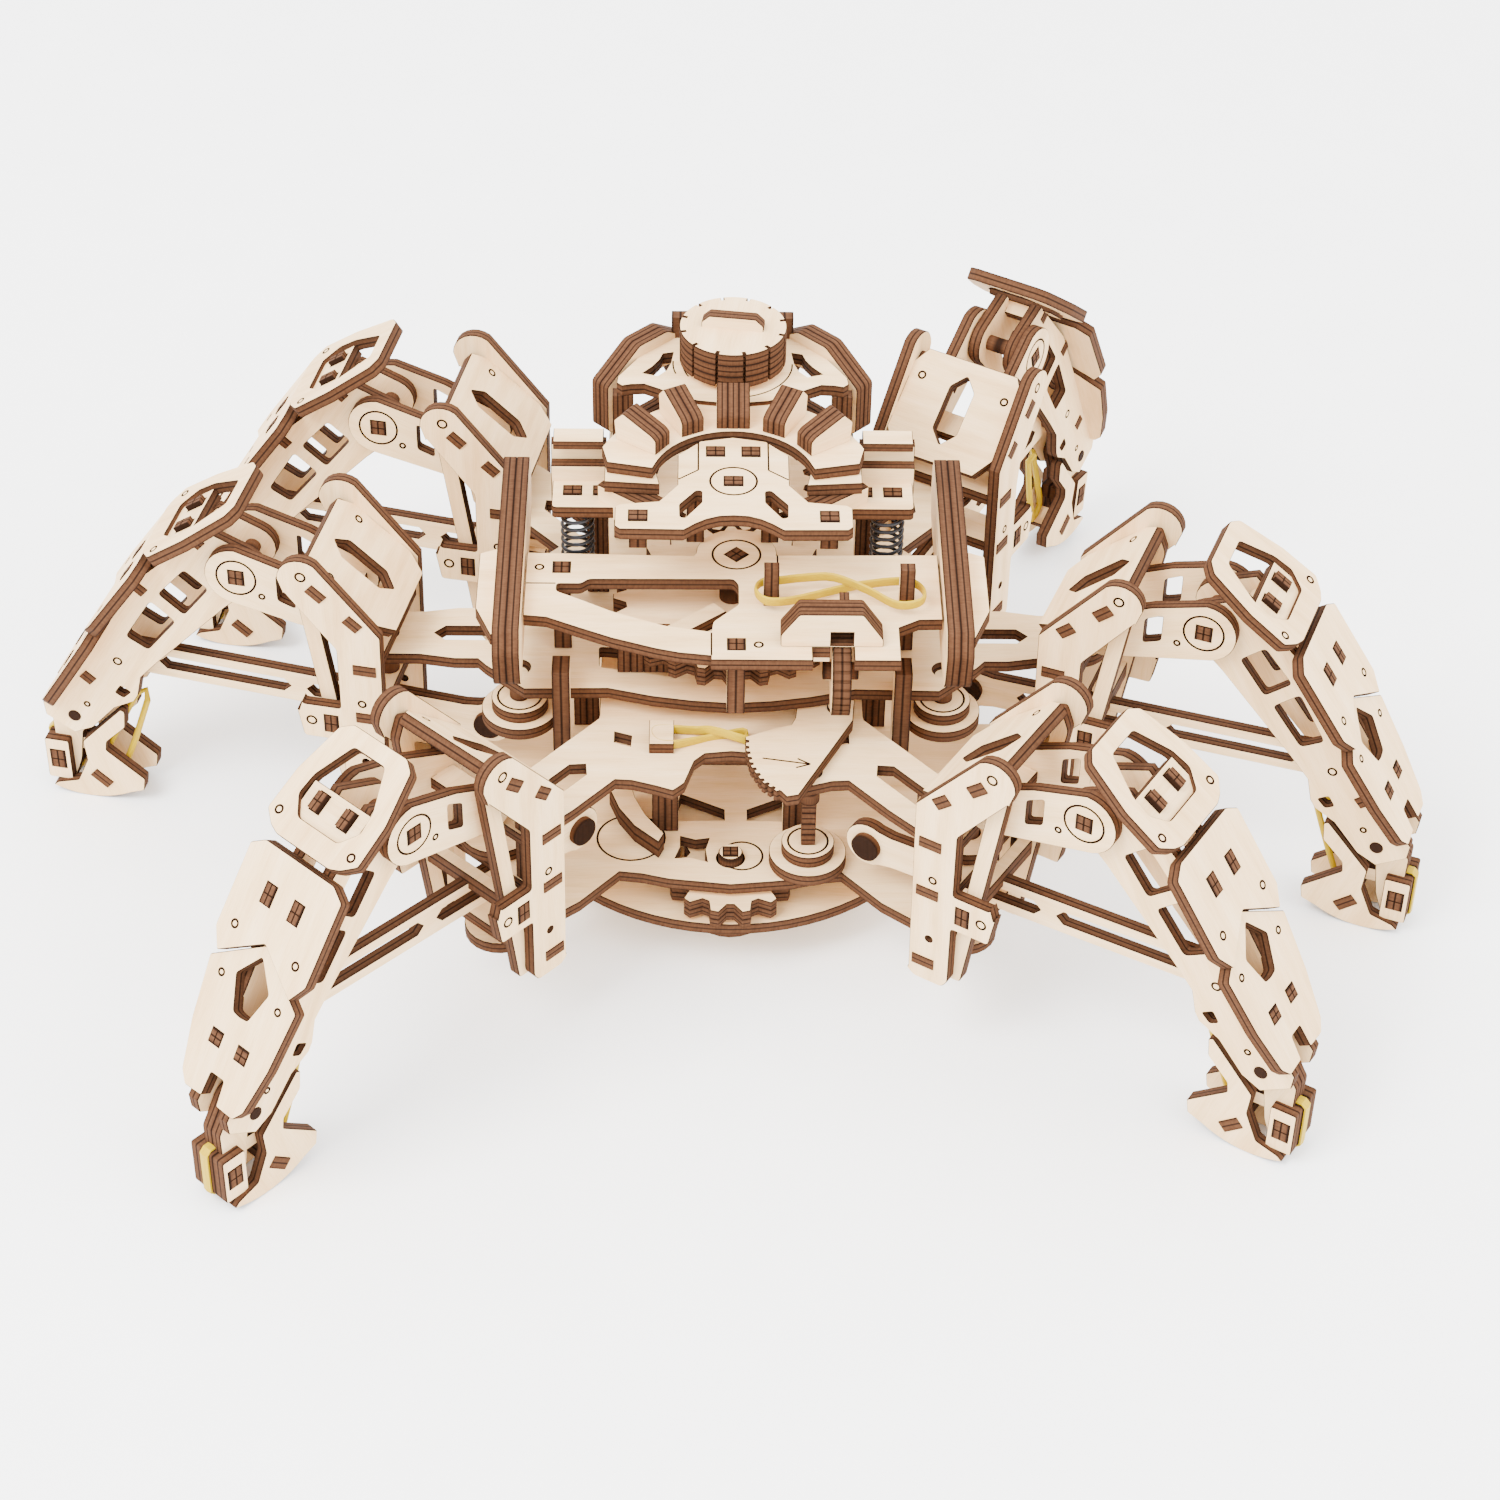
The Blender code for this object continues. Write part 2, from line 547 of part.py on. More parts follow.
def rear_dome():
    canopy = mirrored([(8, 32.4), (16, 35.6), (26.5, 36.7), (26.5, 41.3), (15, 62), (10, 68)])
    holes = [circle(0, WINDING_Y, 3.8, 12)]
    for side in (-1, 1):
        holes.append([(side * x, y) for x, y in ((15, 42.6), (20.5, 42.1), (17, 49), (14.5, 50.4))][::side])
    solids = [sheet(canopy, holes, DOME_Z, DOME_Z + PLY)]
    octagon = chamfered([(-18, 74), (18, 74), (18, 106), (-18, 106)], 9)
    window = [(-8, 82), (8, 82), (10, 88), (6, 96), (-6, 96), (-10, 88)]
    for side in (-1, 1):
        toed_in = shift(side * 27, 59, 0) @ Matrix.Rotation(math.radians(side * 30.6), 4, "Z")
        solids.append(sheet(octagon, (window,), -3, 3, toed_in @ FACING_OUT))
        low, high = sorted((side * -13, side * -1))
        solids.append(sheet(box_outline(low, -3, high, 3), (), DOME_Z + 0.4, DOME_Z + 2.6, toed_in))
        solids.append(block(side * 26 - 3, 33, UPPER_Z + PLY + GAP, side * 26 + 3, 38.5, DOME_Z + 1))
        low, high = sorted((side * 22, side * 31))
        solids.append(block(low, 44, 76.5, high, 60, 79.5))
        solids.append(block(side * 26 - 2.5, 37, 74.5, side * 26 + 2.5, 50, 80.5))
    return joined("rear_dome", solids)


def winding_knob():
    solids = [sheet(knob_outline(13.2, 16, 1.3), (), KNOB_Z, KNOB_Z + 9)]
    solids.append(sheet([(-8, -3), (8, -3), (5, 3), (-5, 3)], (), KNOB_Z + 8, KNOB_Z + 11.5))
    bore = [sheet(circle(0, 0, 2.2, 8), (), KNOB_Z - 1, KNOB_Z + 6)]
    return joined("winding_knob", solids, bore)


def knob_outline(r, notches, depth):
    """A circle with narrow notches around its rim."""
    points = []
    for i in range(notches):
        a = 360 / notches * i
        points += arc(0, 0, r, a + 2.5, a + 360 / notches - 2.5, 2)
        points += arc(0, 0, r - depth, a + 360 / notches - 2.5, a + 360 / notches + 2.5, 1)
    return points


def gear_outline(teeth, phase=0.0):
    """Blunt teeth about the pitch circle, thin enough to run with clearance."""
    pitch = TOOTH_PITCH_R * teeth
    points = []
    for i in range(teeth):
        middle = 360 / teeth * i + phase
        for r, turn in ((pitch + 0.9, -0.09), (pitch + 0.9, 0.09), (pitch - 1.9, 0.5)):
            a = math.radians(middle + 360 / teeth * turn)
            points.append((r * math.cos(a), r * math.sin(a)))
    return points


def centre_shaft():
    solids = [sheet(gear_outline(DRIVE_TEETH), (), z, z + 5) for z in (GEAR_Z, TOP_GEAR_Z)]
    solids.append(turned(0, 0, 2.9, DISC_Z - 0.5, DECK_Z + PLY + 0.5, 12))
    return joined("centre_shaft", solids)


def pinion():
    solids = [sheet(gear_outline(PINION_TEETH, 90 + 180 / PINION_TEETH), (), GEAR_Z, GEAR_Z + 5)]
    solids.append(turned(0, 0, 2.8, GEAR_Z - 0.5, LOWER_Z + PLY + 2, 12))
    return joined("front_pinion", solids)


def winding_shaft():
    solids = [sheet(gear_outline(WINDING_TEETH, 270 + 180 / WINDING_TEETH),
        (), TOP_GEAR_Z, TOP_GEAR_Z + 5)]
    solids.append(turned(0, 0, 3.2, UPPER_Z + 0.5, KNOB_Z - 1.5, 12))
    solids.append(turned(0, 0, 1.8, KNOB_Z - 2, KNOB_Z + 5, 8))
    return joined("winding_shaft", solids)


def crank_stack(low, high, upper_disc):
    """Two stacked discs on a square post that turns in the plate above."""
    solids = [turned(0, 0, 8.8, low, low + PLY, 24), turned(0, 0, upper_disc, low + 2.5, low + 6, 20)]
    solids.append(block(-1.6, -1.6, low + 5, 1.6, 1.6, high))
    solids.append(turned(0, 0, 2.3, high - 4, high + 3, 12))
    if low < LOWER_Z + 5:
        solids.append(turned(0, 0, 2.3, LOWER_Z + 0.5, low + 1, 12))
    return joined("crank", solids)


def walk_lever():
    """Sector pointer with a toothed edge, origin on its pivot."""
    teeth = []
    for i in range(13):
        a = 196 + 5.2 * i
        teeth += arc(0, 0, 27.0, a, a + 2.4, 1) + arc(0, 0, 25.8, a + 2.8, a + 5.0, 1)
    outline = [(4, -4), (4.5, 3), (-3, 6.5), (-10, 3)] + teeth
    solids = [sheet(outline, (), 0, PLY)]
    solids.append(turned(0, 0, 2.4, -PLY - 0.6, 0.5, 12))
    return joined("walk_lever", solids)


def mode_wheel():
    """Knurled wheel that stands in the deck's notch, origin on its axle."""
    outline = knob_outline(MODE_WHEEL_R, 12, 0.8)
    disc = sheet(outline, (circle(0, 0, 2.4, 8),), -2, 2, FACING_OUT)
    return joined("mode_wheel", [disc])


def build_body(robot):
    cheek = side_cheek()
    other_cheek = cheek.copy()
    other_cheek.transform(Matrix.Diagonal((-1, 1, 1, 1)))
    other_cheek.flip_normals()
    coil = coil_spring()
    side_crank = crank_stack(43.6, 53.5, 6.5)
    winding = empty("winding_axis", shift(0, WINDING_Y, 0), robot)
    for name, mesh in (
        ("lower_hip_plate", lower_hip_plate()),
        ("bottom_disc", bottom_disc()),
        ("front_hip_plate", front_hip_plate()),
        ("upper_hip_plate", upper_hip_plate()),
        ("front_deck", front_deck()),
        ("side_cheek_R", cheek),
        ("side_cheek_L", other_cheek),
        ("bridge", bridge()),
        ("fin_ring", fin_ring()),
        ("rear_dome", rear_dome()),
        ("centre_shaft", centre_shaft()),
    ):
        place(name, mesh, WOOD, None, robot)
    place("coil_spring_L", coil, STEEL, shift(-35.5, 8.2, 0), robot)
    place("coil_spring_R", coil, STEEL, shift(35.5, 8.2, 0), robot)
    place("winding_knob", winding_knob(), WOOD, None, winding)
    place("winding_shaft", winding_shaft(), WOOD, None, winding)
    place("front_pinion", pinion(), WOOD, shift(0, PINION_Y, 0), robot)
    place("crank_front", crank_stack(24.4, 46.5, 6.0), WOOD, shift(*CRANK_FRONT, 0), robot)
    place("crank_L", side_crank, WOOD, shift(-CRANK_SIDE[0], CRANK_SIDE[1], 0), robot)
    place("crank_R", side_crank, WOOD, shift(*CRANK_SIDE, 0), robot)
    place("walk_lever", walk_lever(), WOOD, shift(*LEVER_PIVOT, FRONT_Z + PLY + GAP), robot)
    place("mode_wheel", mode_wheel(), WOOD, shift(*WHEEL_AXLE), robot)
    place("deck_band", deck_band(), RUBBER, None, robot)
    place("lever_band", lever_band(), RUBBER, None, robot)


def deck_band():
    """Figure-of-eight rubber loop round the deck's two posts, as two lobes that meet at the crossing."""
    z = DECK_Z + PLY + 4.4
    left = [(6.2, -20.8), (6.2, -13.6), (12.6, -13.6), (24, -18.6), (24, -20), (12.6, -21.2)]
    right = [(36.0, -21.2), (42.4, -20.8), (42.4, -13.6), (36.0, -13.6), (24, -16.8), (24, -18.2)]
    solids = []
    for lobe, post in ((left, 9.8), (right, 38.9)):
        hole = box_outline(post - 2.3, -20.3, post + 2.3, -14.2)
        solids.append(sheet(lobe, (hole,), z - 1.2, z + 1.2))
    solids.append(block(22.5, -20, z - 1.2, 25.5, -17, z + 1.2))
    return joined("deck_band", solids)


def lever_band():
    """Rubber loop from the front plate's hook to the lever's root."""
    z = FRONT_Z + PLY + GAP
    outline = [(-8, -31), (-8, -28), (-4, -27.6), (-2.8, -28.6), (-2.8, -30.8), (-4, -31.6)]
    return sheet(outline, (), z, z + 2.4)


def main():
    for obj in list(bpy.data.objects):
        bpy.data.objects.remove(obj)
    for collection in (KIT, CUTTERS):
        bpy.context.scene.collection.children.link(collection)
    robot = empty("robot", shift(*POSE_OFFSET, SOLE_DEPTH))
    build_legs(robot)
    build_body(robot)


main()
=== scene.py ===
"""Looks of the hexapod spider robot: laser-cut birch plywood plates, rubber bands and springs.

Lengths are millimetres until MM turns them into metres. A leg piece is drawn in its leg's frame
(x outward, y across, z up) and a body piece in the body's frame, whose origin is the datum below.
"""

import json
import math

import bpy
from mathutils import Matrix, Vector


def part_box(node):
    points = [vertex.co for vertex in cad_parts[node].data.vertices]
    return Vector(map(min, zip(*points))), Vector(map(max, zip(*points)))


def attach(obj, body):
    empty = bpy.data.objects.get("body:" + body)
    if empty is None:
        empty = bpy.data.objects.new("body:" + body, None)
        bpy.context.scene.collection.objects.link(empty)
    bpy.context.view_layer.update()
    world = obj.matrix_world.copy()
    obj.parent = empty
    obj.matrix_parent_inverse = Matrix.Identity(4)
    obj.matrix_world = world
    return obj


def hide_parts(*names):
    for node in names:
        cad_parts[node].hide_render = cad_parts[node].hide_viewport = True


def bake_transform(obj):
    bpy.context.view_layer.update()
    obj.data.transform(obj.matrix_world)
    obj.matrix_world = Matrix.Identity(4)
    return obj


MM = 0.001
PLY = 3.0
RIM = 0.16
FACE, EDGE, BURN, RUBBER, STEEL = range(5)

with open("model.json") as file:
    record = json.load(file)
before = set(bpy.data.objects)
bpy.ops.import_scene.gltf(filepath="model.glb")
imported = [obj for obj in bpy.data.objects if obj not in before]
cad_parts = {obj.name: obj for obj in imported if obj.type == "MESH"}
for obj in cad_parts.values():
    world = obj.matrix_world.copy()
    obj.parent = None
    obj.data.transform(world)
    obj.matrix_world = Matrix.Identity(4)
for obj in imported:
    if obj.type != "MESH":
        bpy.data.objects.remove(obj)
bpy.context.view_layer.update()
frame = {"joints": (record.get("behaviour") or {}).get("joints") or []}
JOINTS = {joint["name"]: joint for joint in frame["joints"]}

# levels of the flat plates in the body's frame, and the main places
DISC_Z, GEAR_Z, LOWER_Z, FRONT_Z, UPPER_Z = 11.0, 15.0, 21.0, 48.0, 55.0
TOP_GEAR_Z, DECK_Z, FIN_Z, BRIDGE_Z, DOME_Z, KNOB_Z = 64.0, 77.0, 90.0, 97.0, 99.0, 103.5
BOSS_Z = 7.4
HIP_REACH = 79.4
TOOTH_PITCH_R = 1.095
PINION_Y, WINDING_Y = -39.42, 45.99
CRANK_FRONT, CRANK_SIDE = (17.5, -40.5), (48.5, -12.5)
LEVER_PIVOT, WHEEL_AXLE = (24.0, -22.0), (24.0, -28.0, 70.0)

FIN_RING_Z = 98.0

# the leg's measures
THIGH_PIVOT, KNEE, ANKLE = (9.0, 68.0), (31.8, 75.4), 68.5
BRACKET_HALF, BRACE_HALF, THIGH_HALF, SHIN_HALF = 17.4, 14.5, 9.5, 6.2
ROD_LENGTH = 86.0
LEGS = ("FL", "FR", "ML", "MR", "RL", "RR")


# ---------------------------------------------------------------- materials
def new_material(name, roughness, shine=0.5):
    mat = bpy.data.materials.new(name)
    mat.use_nodes = True
    tree = mat.node_tree
    shader = tree.nodes["Principled BSDF"]
    shader.inputs["Roughness"].default_value = roughness
    shader.inputs["Specular IOR Level"].default_value = shine
    return mat, tree, shader


def stretched(tree, scale, layer="ply"):
    """The plate's own coordinates, stretched so that noise runs along the grain."""
    uv = tree.nodes.new("ShaderNodeUVMap")
    uv.uv_map = layer
    mapping = tree.nodes.new("ShaderNodeMapping")
    mapping.inputs["Scale"].default_value = scale
    tree.links.new(uv.outputs["UV"], mapping.inputs["Vector"])
    return mapping.outputs["Vector"]


def noise(tree, vector, scale, detail=4.0, rough=0.55):
    made = tree.nodes.new("ShaderNodeTexNoise")
    made.inputs["Scale"].default_value = scale
    made.inputs["Detail"].default_value = detail
    made.inputs["Roughness"].default_value = rough
    tree.links.new(vector, made.inputs["Vector"])
    return made.outputs["Fac"]


def ramp(tree, value, stops):
    made = tree.nodes.new("ShaderNodeValToRGB")
    elements = made.color_ramp.elements
    while len(elements) < len(stops):
        elements.new(0.5)
    for element, (at, colour) in zip(elements, stops):
        element.position = at
        element.color = (*colour, 1)
    tree.links.new(value, made.inputs["Fac"])
    return made.outputs["Color"]


def mixed(tree, way, factor, first, second):
    made = tree.nodes.new("ShaderNodeMix")
    made.data_type = "RGBA"
    made.blend_type = way
    if isinstance(factor, float):
        made.inputs[0].default_value = factor
    else:
        tree.links.new(factor, made.inputs[0])
    tree.links.new(first, made.inputs[6])
    tree.links.new(second, made.inputs[7])
    return made.outputs[2]


def bumped(tree, shader, height, strength, distance):
    made = tree.nodes.new("ShaderNodeBump")
    made.inputs["Strength"].default_value = strength
    made.inputs["Distance"].default_value = distance
    tree.links.new(height, made.inputs["Height"])
    tree.links.new(made.outputs["Normal"], shader.inputs["Normal"])


def ply_face():
    """Birch veneer: pale, with long soft bands, fine fibres and a plate-to-plate change of tone."""
    mat, tree, shader = new_material("birch_face", 0.62, 0.2)
    bands = noise(tree, stretched(tree, (1.0, 9.0, 1.0)), 2.2, 5, 0.6)
    base = ramp(tree, bands, [(0.28, (0.66, 0.42, 0.20)), (0.5, (0.78, 0.54, 0.29)), (0.72, (0.84, 0.62,
            0.37))])
    fibres = noise(tree, stretched(tree, (3.0, 95.0, 1.0)), 5.0, 3, 0.6)
    streak = ramp(tree, fibres, [(0.30, (0.80, 0.72, 0.62)), (0.52, (1, 1, 1))])
    colour = mixed(tree, "MULTIPLY", 0.55, base, streak)
    tone = noise(tree, stretched(tree, (0.13, 0.13, 1.0)), 1.0, 1, 0.4)
    shade = ramp(tree, tone, [(0.3, (0.90, 0.87, 0.82)), (0.7, (1.0, 1.0, 1.0))])
    colour = mixed(tree, "MULTIPLY", 0.8, colour, shade)
    tree.links.new(colour, shader.inputs["Base Color"])
    bumped(tree, shader, fibres, 0.18, 0.0001)
    return mat


def ply_edge():
    """Laser-cut edge: two scorched outer plies with a lighter core, streaked across by the beam."""
    mat, tree, shader = new_material("scorched_edge", 0.75, 0.04)
    uv = tree.nodes.new("ShaderNodeUVMap")
    uv.uv_map = "ply"
    parts = tree.nodes.new("ShaderNodeSeparateXYZ")
    tree.links.new(uv.outputs["UV"], parts.inputs["Vector"])
    layers = ramp(
        tree,
        parts.outputs["Y"],
        [
            (0.04, (0.015, 0.0065, 0.0035)),
            (0.13, (0.062, 0.027, 0.0135)),
            (0.40, (0.080, 0.036, 0.018)),
            (0.47, (0.015, 0.0065, 0.0035)),
            (0.53, (0.015, 0.0065, 0.0035)),
            (0.60, (0.080, 0.036, 0.018)),
            (0.87, (0.062, 0.027, 0.0135)),
            (0.96, (0.015, 0.0065, 0.0035)),
        ],
    )
    beam = noise(tree, stretched(tree, (60.0, 0.6, 1.0)), 3.0, 3, 0.6)
    streak = ramp(tree, beam, [(0.32, (0.72, 0.68, 0.64)), (0.66, (1.2, 1.17, 1.12))])
    colour = mixed(tree, "MULTIPLY", 0.7, layers, streak)
    tree.links.new(colour, shader.inputs["Base Color"])
    bumped(tree, shader, beam, 0.25, 0.0001)
    return mat


def burn_mark():
    """Engraved or scorched line."""
    mat, tree, shader = new_material("burn_mark", 0.8, 0.02)
    speck = noise(tree, stretched(tree, (40.0, 40.0, 1.0)), 4.0, 2, 0.5)
    colour = ramp(tree, speck, [(0.3, (0.006, 0.0026, 0.0012)), (0.7, (0.016, 0.007, 0.0035))])
    tree.links.new(colour, shader.inputs["Base Color"])
    return mat


def rubber():
    mat, tree, shader = new_material("yellow_rubber", 0.45, 0.15)
    speck = noise(tree, stretched(tree, (8.0, 8.0, 1.0)), 6.0, 3, 0.5)
    colour = ramp(tree, speck, [(0.3, (0.36, 0.23, 0.0005)), (0.7, (0.46, 0.31, 0.001))])
    tree.links.new(colour, shader.inputs["Base Color"])
    bumped(tree, shader, speck, 0.1, 0.0001)
    return mat


def spring_steel():
    mat, tree, shader = new_material("black_spring_steel", 0.32)
    shader.inputs["Metallic"].default_value = 0.9
    speck = noise(tree, stretched(tree, (20.0, 20.0, 1.0)), 5.0, 3, 0.5)
    colour = ramp(tree, speck, [(0.3, (0.02, 0.02, 0.022)), (0.7, (0.05, 0.05, 0.055))])
    tree.links.new(colour, shader.inputs["Base Color"])
    return mat


MATERIALS = [ply_face(), ply_edge(), burn_mark(), rubber(), spring_steel()]


# ---------------------------------------------------------------- drawing
def shift(x, y, z):
    return Matrix.Translation((x * MM, y * MM, z * MM))


def turn(angle, axis="Z"):
    return Matrix.Rotation(math.radians(angle), 4, axis)


def tilt(angle):
    """A turn in the leg's plane that swings the outward end up."""
    return turn(-angle, "Y")


def upright(y=0.0):
    """A plate that stands in the x-z plane."""
    return shift(0, y, 0) @ turn(90, "X")


# a plate drawn as (across, up) that faces along +x
FACING_OUT = Matrix(((0, 0, 1, 0), (1, 0, 0, 0), (0, 1, 0, 0), (0, 0, 0, 1)))


def arc(cx, cy, r, start, end, steps=8):
    angles = [math.radians(start + (end - start) * i / steps) for i in range(steps + 1)]
    return [(cx + r * math.cos(a), cy + r * math.sin(a)) for a in angles]


def circle(cx, cy, r, sides=32):
    return arc(cx, cy, r, 0, 360 - 360 / sides, sides - 1)


def rectangle(x0, y0, x1, y1):
    return [(x0, y0), (x1, y0), (x1, y1), (x0, y1)]


def mirrored(half):
    """Half an outline on x >= 0, from the bottom up, with its mirror image."""
    return half + [(-x, y) for x, y in reversed(half) if abs(x) > 1e-9]


def rounded(points, r, steps=3):
    """The outline with every corner rounded by up to r."""
    out = []
    count = len(points)
    for i in range(count):
        corner = Vector(points[i])
        before = Vector(points[i - 1]) - corner
        after = Vector(points[(i + 1) % count]) - corner
        cut = min(r, before.length * 0.45, after.length * 0.45)
        start, end = corner + before.normalized() * cut, corner + after.normalized() * cut
        for k in range(steps + 1):
            t = k / steps
            at = start * (1 - t) ** 2 + corner * 2 * t * (1 - t) + end * t * t
            out.append((at.x, at.y))
    return out


class Kit:
    """One visible piece under construction: plates, pins and tubes in one mesh."""

    count = 0

    def __init__(self, name):
        self.name = name
        self.points, self.faces, self.uvs, self.slots = [], [], [], []

    def add(self, mesh, matrix, grain=0.0, skin=FACE, side=EDGE, thick=PLY):
        """Adds a flat mesh: caps take skin, cut sides take side."""
        Kit.count += 1
        c, s = math.cos(math.radians(grain)), math.sin(math.radians(grain))
        jump = (Kit.count * 7.31) % 40
        start = len(self.points)
        self.points += [matrix @ v.co for v in mesh.vertices]
        flipped = matrix.to_3x3().determinant() < 0
        for poly in mesh.polygons:
            n = poly.normal
            cap = abs(n.z) > 0.95
            along = Vector((-n.y, n.x, 0)).normalized() if not cap else None
            loop = []
            for index in poly.vertices:
                co = mesh.vertices[index].co / MM
                if cap:
                    uv = ((co.x * c + co.y * s) * 0.01 + jump, (co.y * c - co.x * s) * 0.01 + jump)
                else:
                    uv = (co.dot(along) * 0.01 + jump, 0.5 + co.z / thick)
                loop.append((start + index, uv))
            if flipped:
                loop.reverse()
            self.faces.append([i for i, _ in loop])
            self.uvs += [uv for _, uv in loop]
            self.slots.append(skin if cap else side)

    def plate(self, outline, holes=(), low=0.0, high=PLY, at=None, rim=RIM, **look):
        """A laser-cut plate from low to high along its normal."""
        curve = bpy.data.curves.new("plate", "CURVE")
        curve.dimensions = "2D"
        curve.fill_mode = "BOTH"
        curve.extrude = ((high - low) / 2 - rim) * MM
        curve.bevel_depth = rim * MM
        curve.bevel_resolution = 0
        curve.offset = -rim * MM
        for points in (outline, *holes):
            spline = curve.splines.new("POLY")
            spline.points.add(len(points) - 1)
            for point, (x, y) in zip(spline.points, points):
                point.co = (x * MM, y * MM, 0, 1)
            spline.use_cyclic_u = True
        obj = bpy.data.objects.new("plate", curve)
        bpy.context.scene.collection.objects.link(obj)
        graph = bpy.context.evaluated_depsgraph_get()
        mesh = bpy.data.meshes.new_from_object(obj.evaluated_get(graph))
        bpy.data.objects.remove(obj)
        bpy.data.curves.remove(curve)
        place = (at or Matrix()) @ Matrix.Translation((0, 0, (low + high) / 2 * MM))
        self.add(mesh, place, thick=high - low, **look)
        bpy.data.meshes.remove(mesh)

    def stacked(self, outline, holes, low, high, at=None, **look):
        """Several 3 mm plies glued on each other."""
        count = max(1, round((high - low) / PLY))
        step = (high - low) / count
        for i in range(count):
            self.plate(outline, holes, low + step * i, low + step * (i + 1), at, **look)

    def post(self, x, y, low, high, half=2.0, deep=2.0):
        """An upright bar whose plies run up it."""
        self.stacked(rectangle(y - deep, low, y + deep, high), (), x - half, x + half, FACING_OUT,
                rim=0.1)

    def pair(self, outline, holes, inner, outer, **look):
        """The same plate on both sides of the leg's middle plane."""
        middle, half = (inner + outer) / 2, (outer - inner) / 2
        for side in (-1, 1):
            self.plate(outline, holes, -half, half, upright(side * middle), **look)

    def tenon(self, x, y, width, height, face, at=None, proud=0.25):
        """The end of a cross plate that shows in a face: its plies run along the longer side."""
        turned = height > width
        place = (at or Matrix()) @ shift(x, y, face) @ turn(90 if turned else 0)
        long, short = (height, width) if turned else (width, height)
        self.end_grain(long, short, place, proud)

    def end_grain(self, long, short, place, proud):
        start = len(self.points)
        for z in (-1.0, proud):
            for x, y in rectangle(-long / 2, -short / 2, long / 2, short / 2):
                self.points.append(place @ Vector((x * MM, y * MM, z * MM)))
        jump = (start * 0.37) % 20
        quads = [(4, 5, 6, 7), (0, 1, 5, 4), (1, 2, 6, 5), (2, 3, 7, 6), (3, 0, 4, 7)]
        for quad in quads:
            self.faces.append([start + i for i in quad])
            for i in quad:
                x, y = rectangle(0, 0, long * 0.01, 1)[i % 4]
                self.uvs.append((x + jump, y))
            self.slots.append(EDGE)
        # the joint line round the tenon and the seam across it
        for mark in (rectangle(-0.14, -short / 2, 0.14, short / 2), rectangle(-long / 2, -0.1, long / 2,
                0.1)):
            self.decal(mark, place @ shift(0, 0, proud + 0.04))
        rim = 0.3
        ring = rectangle(-long / 2 - rim, -short / 2 - rim, long / 2 + rim, short / 2 + rim)
        self.decal(ring, place @ shift(0, 0, 0.03))

    def decal(self, outline, place):
        """A thin dark mark that lies on a face, 0.03 mm thick."""
        start = len(self.points)
        count = len(outline)
        for z in (-0.05, 0.0):
            self.points += [place @ Vector((x * MM, y * MM, z * MM)) for x, y in outline]
        tops = [list(range(count, 2 * count)), list(range(count - 1, -1, -1))]
        sides = [[i, (i + 1) % count, count + (i + 1) % count, count + i] for i in range(count)]
        for face in tops + sides:
            self.faces.append([start + i for i in face])
            self.uvs += [(outline[i % count][0] * 0.1, outline[i % count][1] * 0.1) for i in face]
            self.slots.append(BURN)

    def ring_mark(self, x, y, r, face, at=None, width=0.5, sides=24):
        """An engraved circle, drawn as a flat ring of short pieces."""
        place = (at or Matrix()) @ shift(x, y, face + 0.04)
        for i in range(sides):
            a, b = 360 / sides * i, 360 / sides * (i + 1)
            piece = arc(0, 0, r, a, b, 1) + arc(0, 0, r - width, b, a, 1)
            self.decal(piece, place)

    def line_mark(self, points, face, at=None, width=0.4):
        """An engraved line along the points."""
        place = (at or Matrix()) @ shift(0, 0, face + 0.04)
        for (x0, y0), (x1, y1) in zip(points, points[1:]):
            way = Vector((x1 - x0, y1 - y0))
            side = Vector((-way.y, way.x)).normalized() * width / 2
            quad = [(x0 - side.x, y0 - side.y), (x1 - side.x, y1 - side.y)]
            quad += [(x1 + side.x, y1 + side.y), (x0 + side.x, y0 + side.y)]
            self.decal(quad, place)

    def pin(self, x, y, r, low, high, at=None, skin=FACE, sides=24):
        """A turned or cut round peg."""
        self.plate(circle(x, y, r, sides), (), low, high, at, rim=min(0.3, r / 4), skin=skin)

    def tube(self, path, radius, closed=True, sides=8, slot=RUBBER, flat=1.0, up=(0, 0, 1)):
        """A round or flattened section swept along a path of points in millimetres."""
        start = len(self.points)
        count = len(path)
        points = [Vector(p) for p in path]
        for i, p in enumerate(points):
            before = points[i - 1] if closed or i else p
            after = points[(i + 1) % count] if closed or i < count - 1 else p
            way = (after - before).normalized()
            across = way.cross(Vector(up)).normalized()
            lift = across.cross(way).normalized()
            for k in range(sides):
                a = 2 * math.pi * k / sides
                at = p + across * math.cos(a) * radius + lift * math.sin(a) * radius * flat
                self.points.append(at * MM)
        for i in range(count if closed else count - 1):
            near, far = start + i * sides, start + (i + 1) % count * sides
            for k in range(sides):
                after = (k + 1) % sides
                self.faces.append([near + k, far + k, far + after, near + after])
                self.uvs += [(i * 0.02, k * 0.1), (i * 0.02 + 0.02, k * 0.1)]
                self.uvs += [(i * 0.02 + 0.02, k * 0.1 + 0.1), (i * 0.02, k * 0.1 + 0.1)]
                self.slots.append(slot)
        if not closed:
            for ring in (range(sides), reversed(range((count - 1) * sides, count * sides))):
                self.faces.append([start + k for k in ring])
                self.uvs += [(0.0, 0.0)] * sides
                self.slots.append(slot)

    def mesh(self):
        mesh = bpy.data.meshes.new(self.name)
        mesh.from_pydata(self.points, [], self.faces)
        layer = mesh.uv_layers.new(name="ply")
        for item, uv in zip(layer.data, self.uvs):
            item.uv = uv
        used = sorted(set(self.slots))
        for slot in used:
            mesh.materials.append(MATERIALS[slot])
        for poly, slot in zip(mesh.polygons, self.slots):
            poly.material_index = used.index(slot)
            poly.use_smooth = True
        mesh.set_sharp_from_angle(angle=math.radians(28))
        mesh.update()
        return mesh




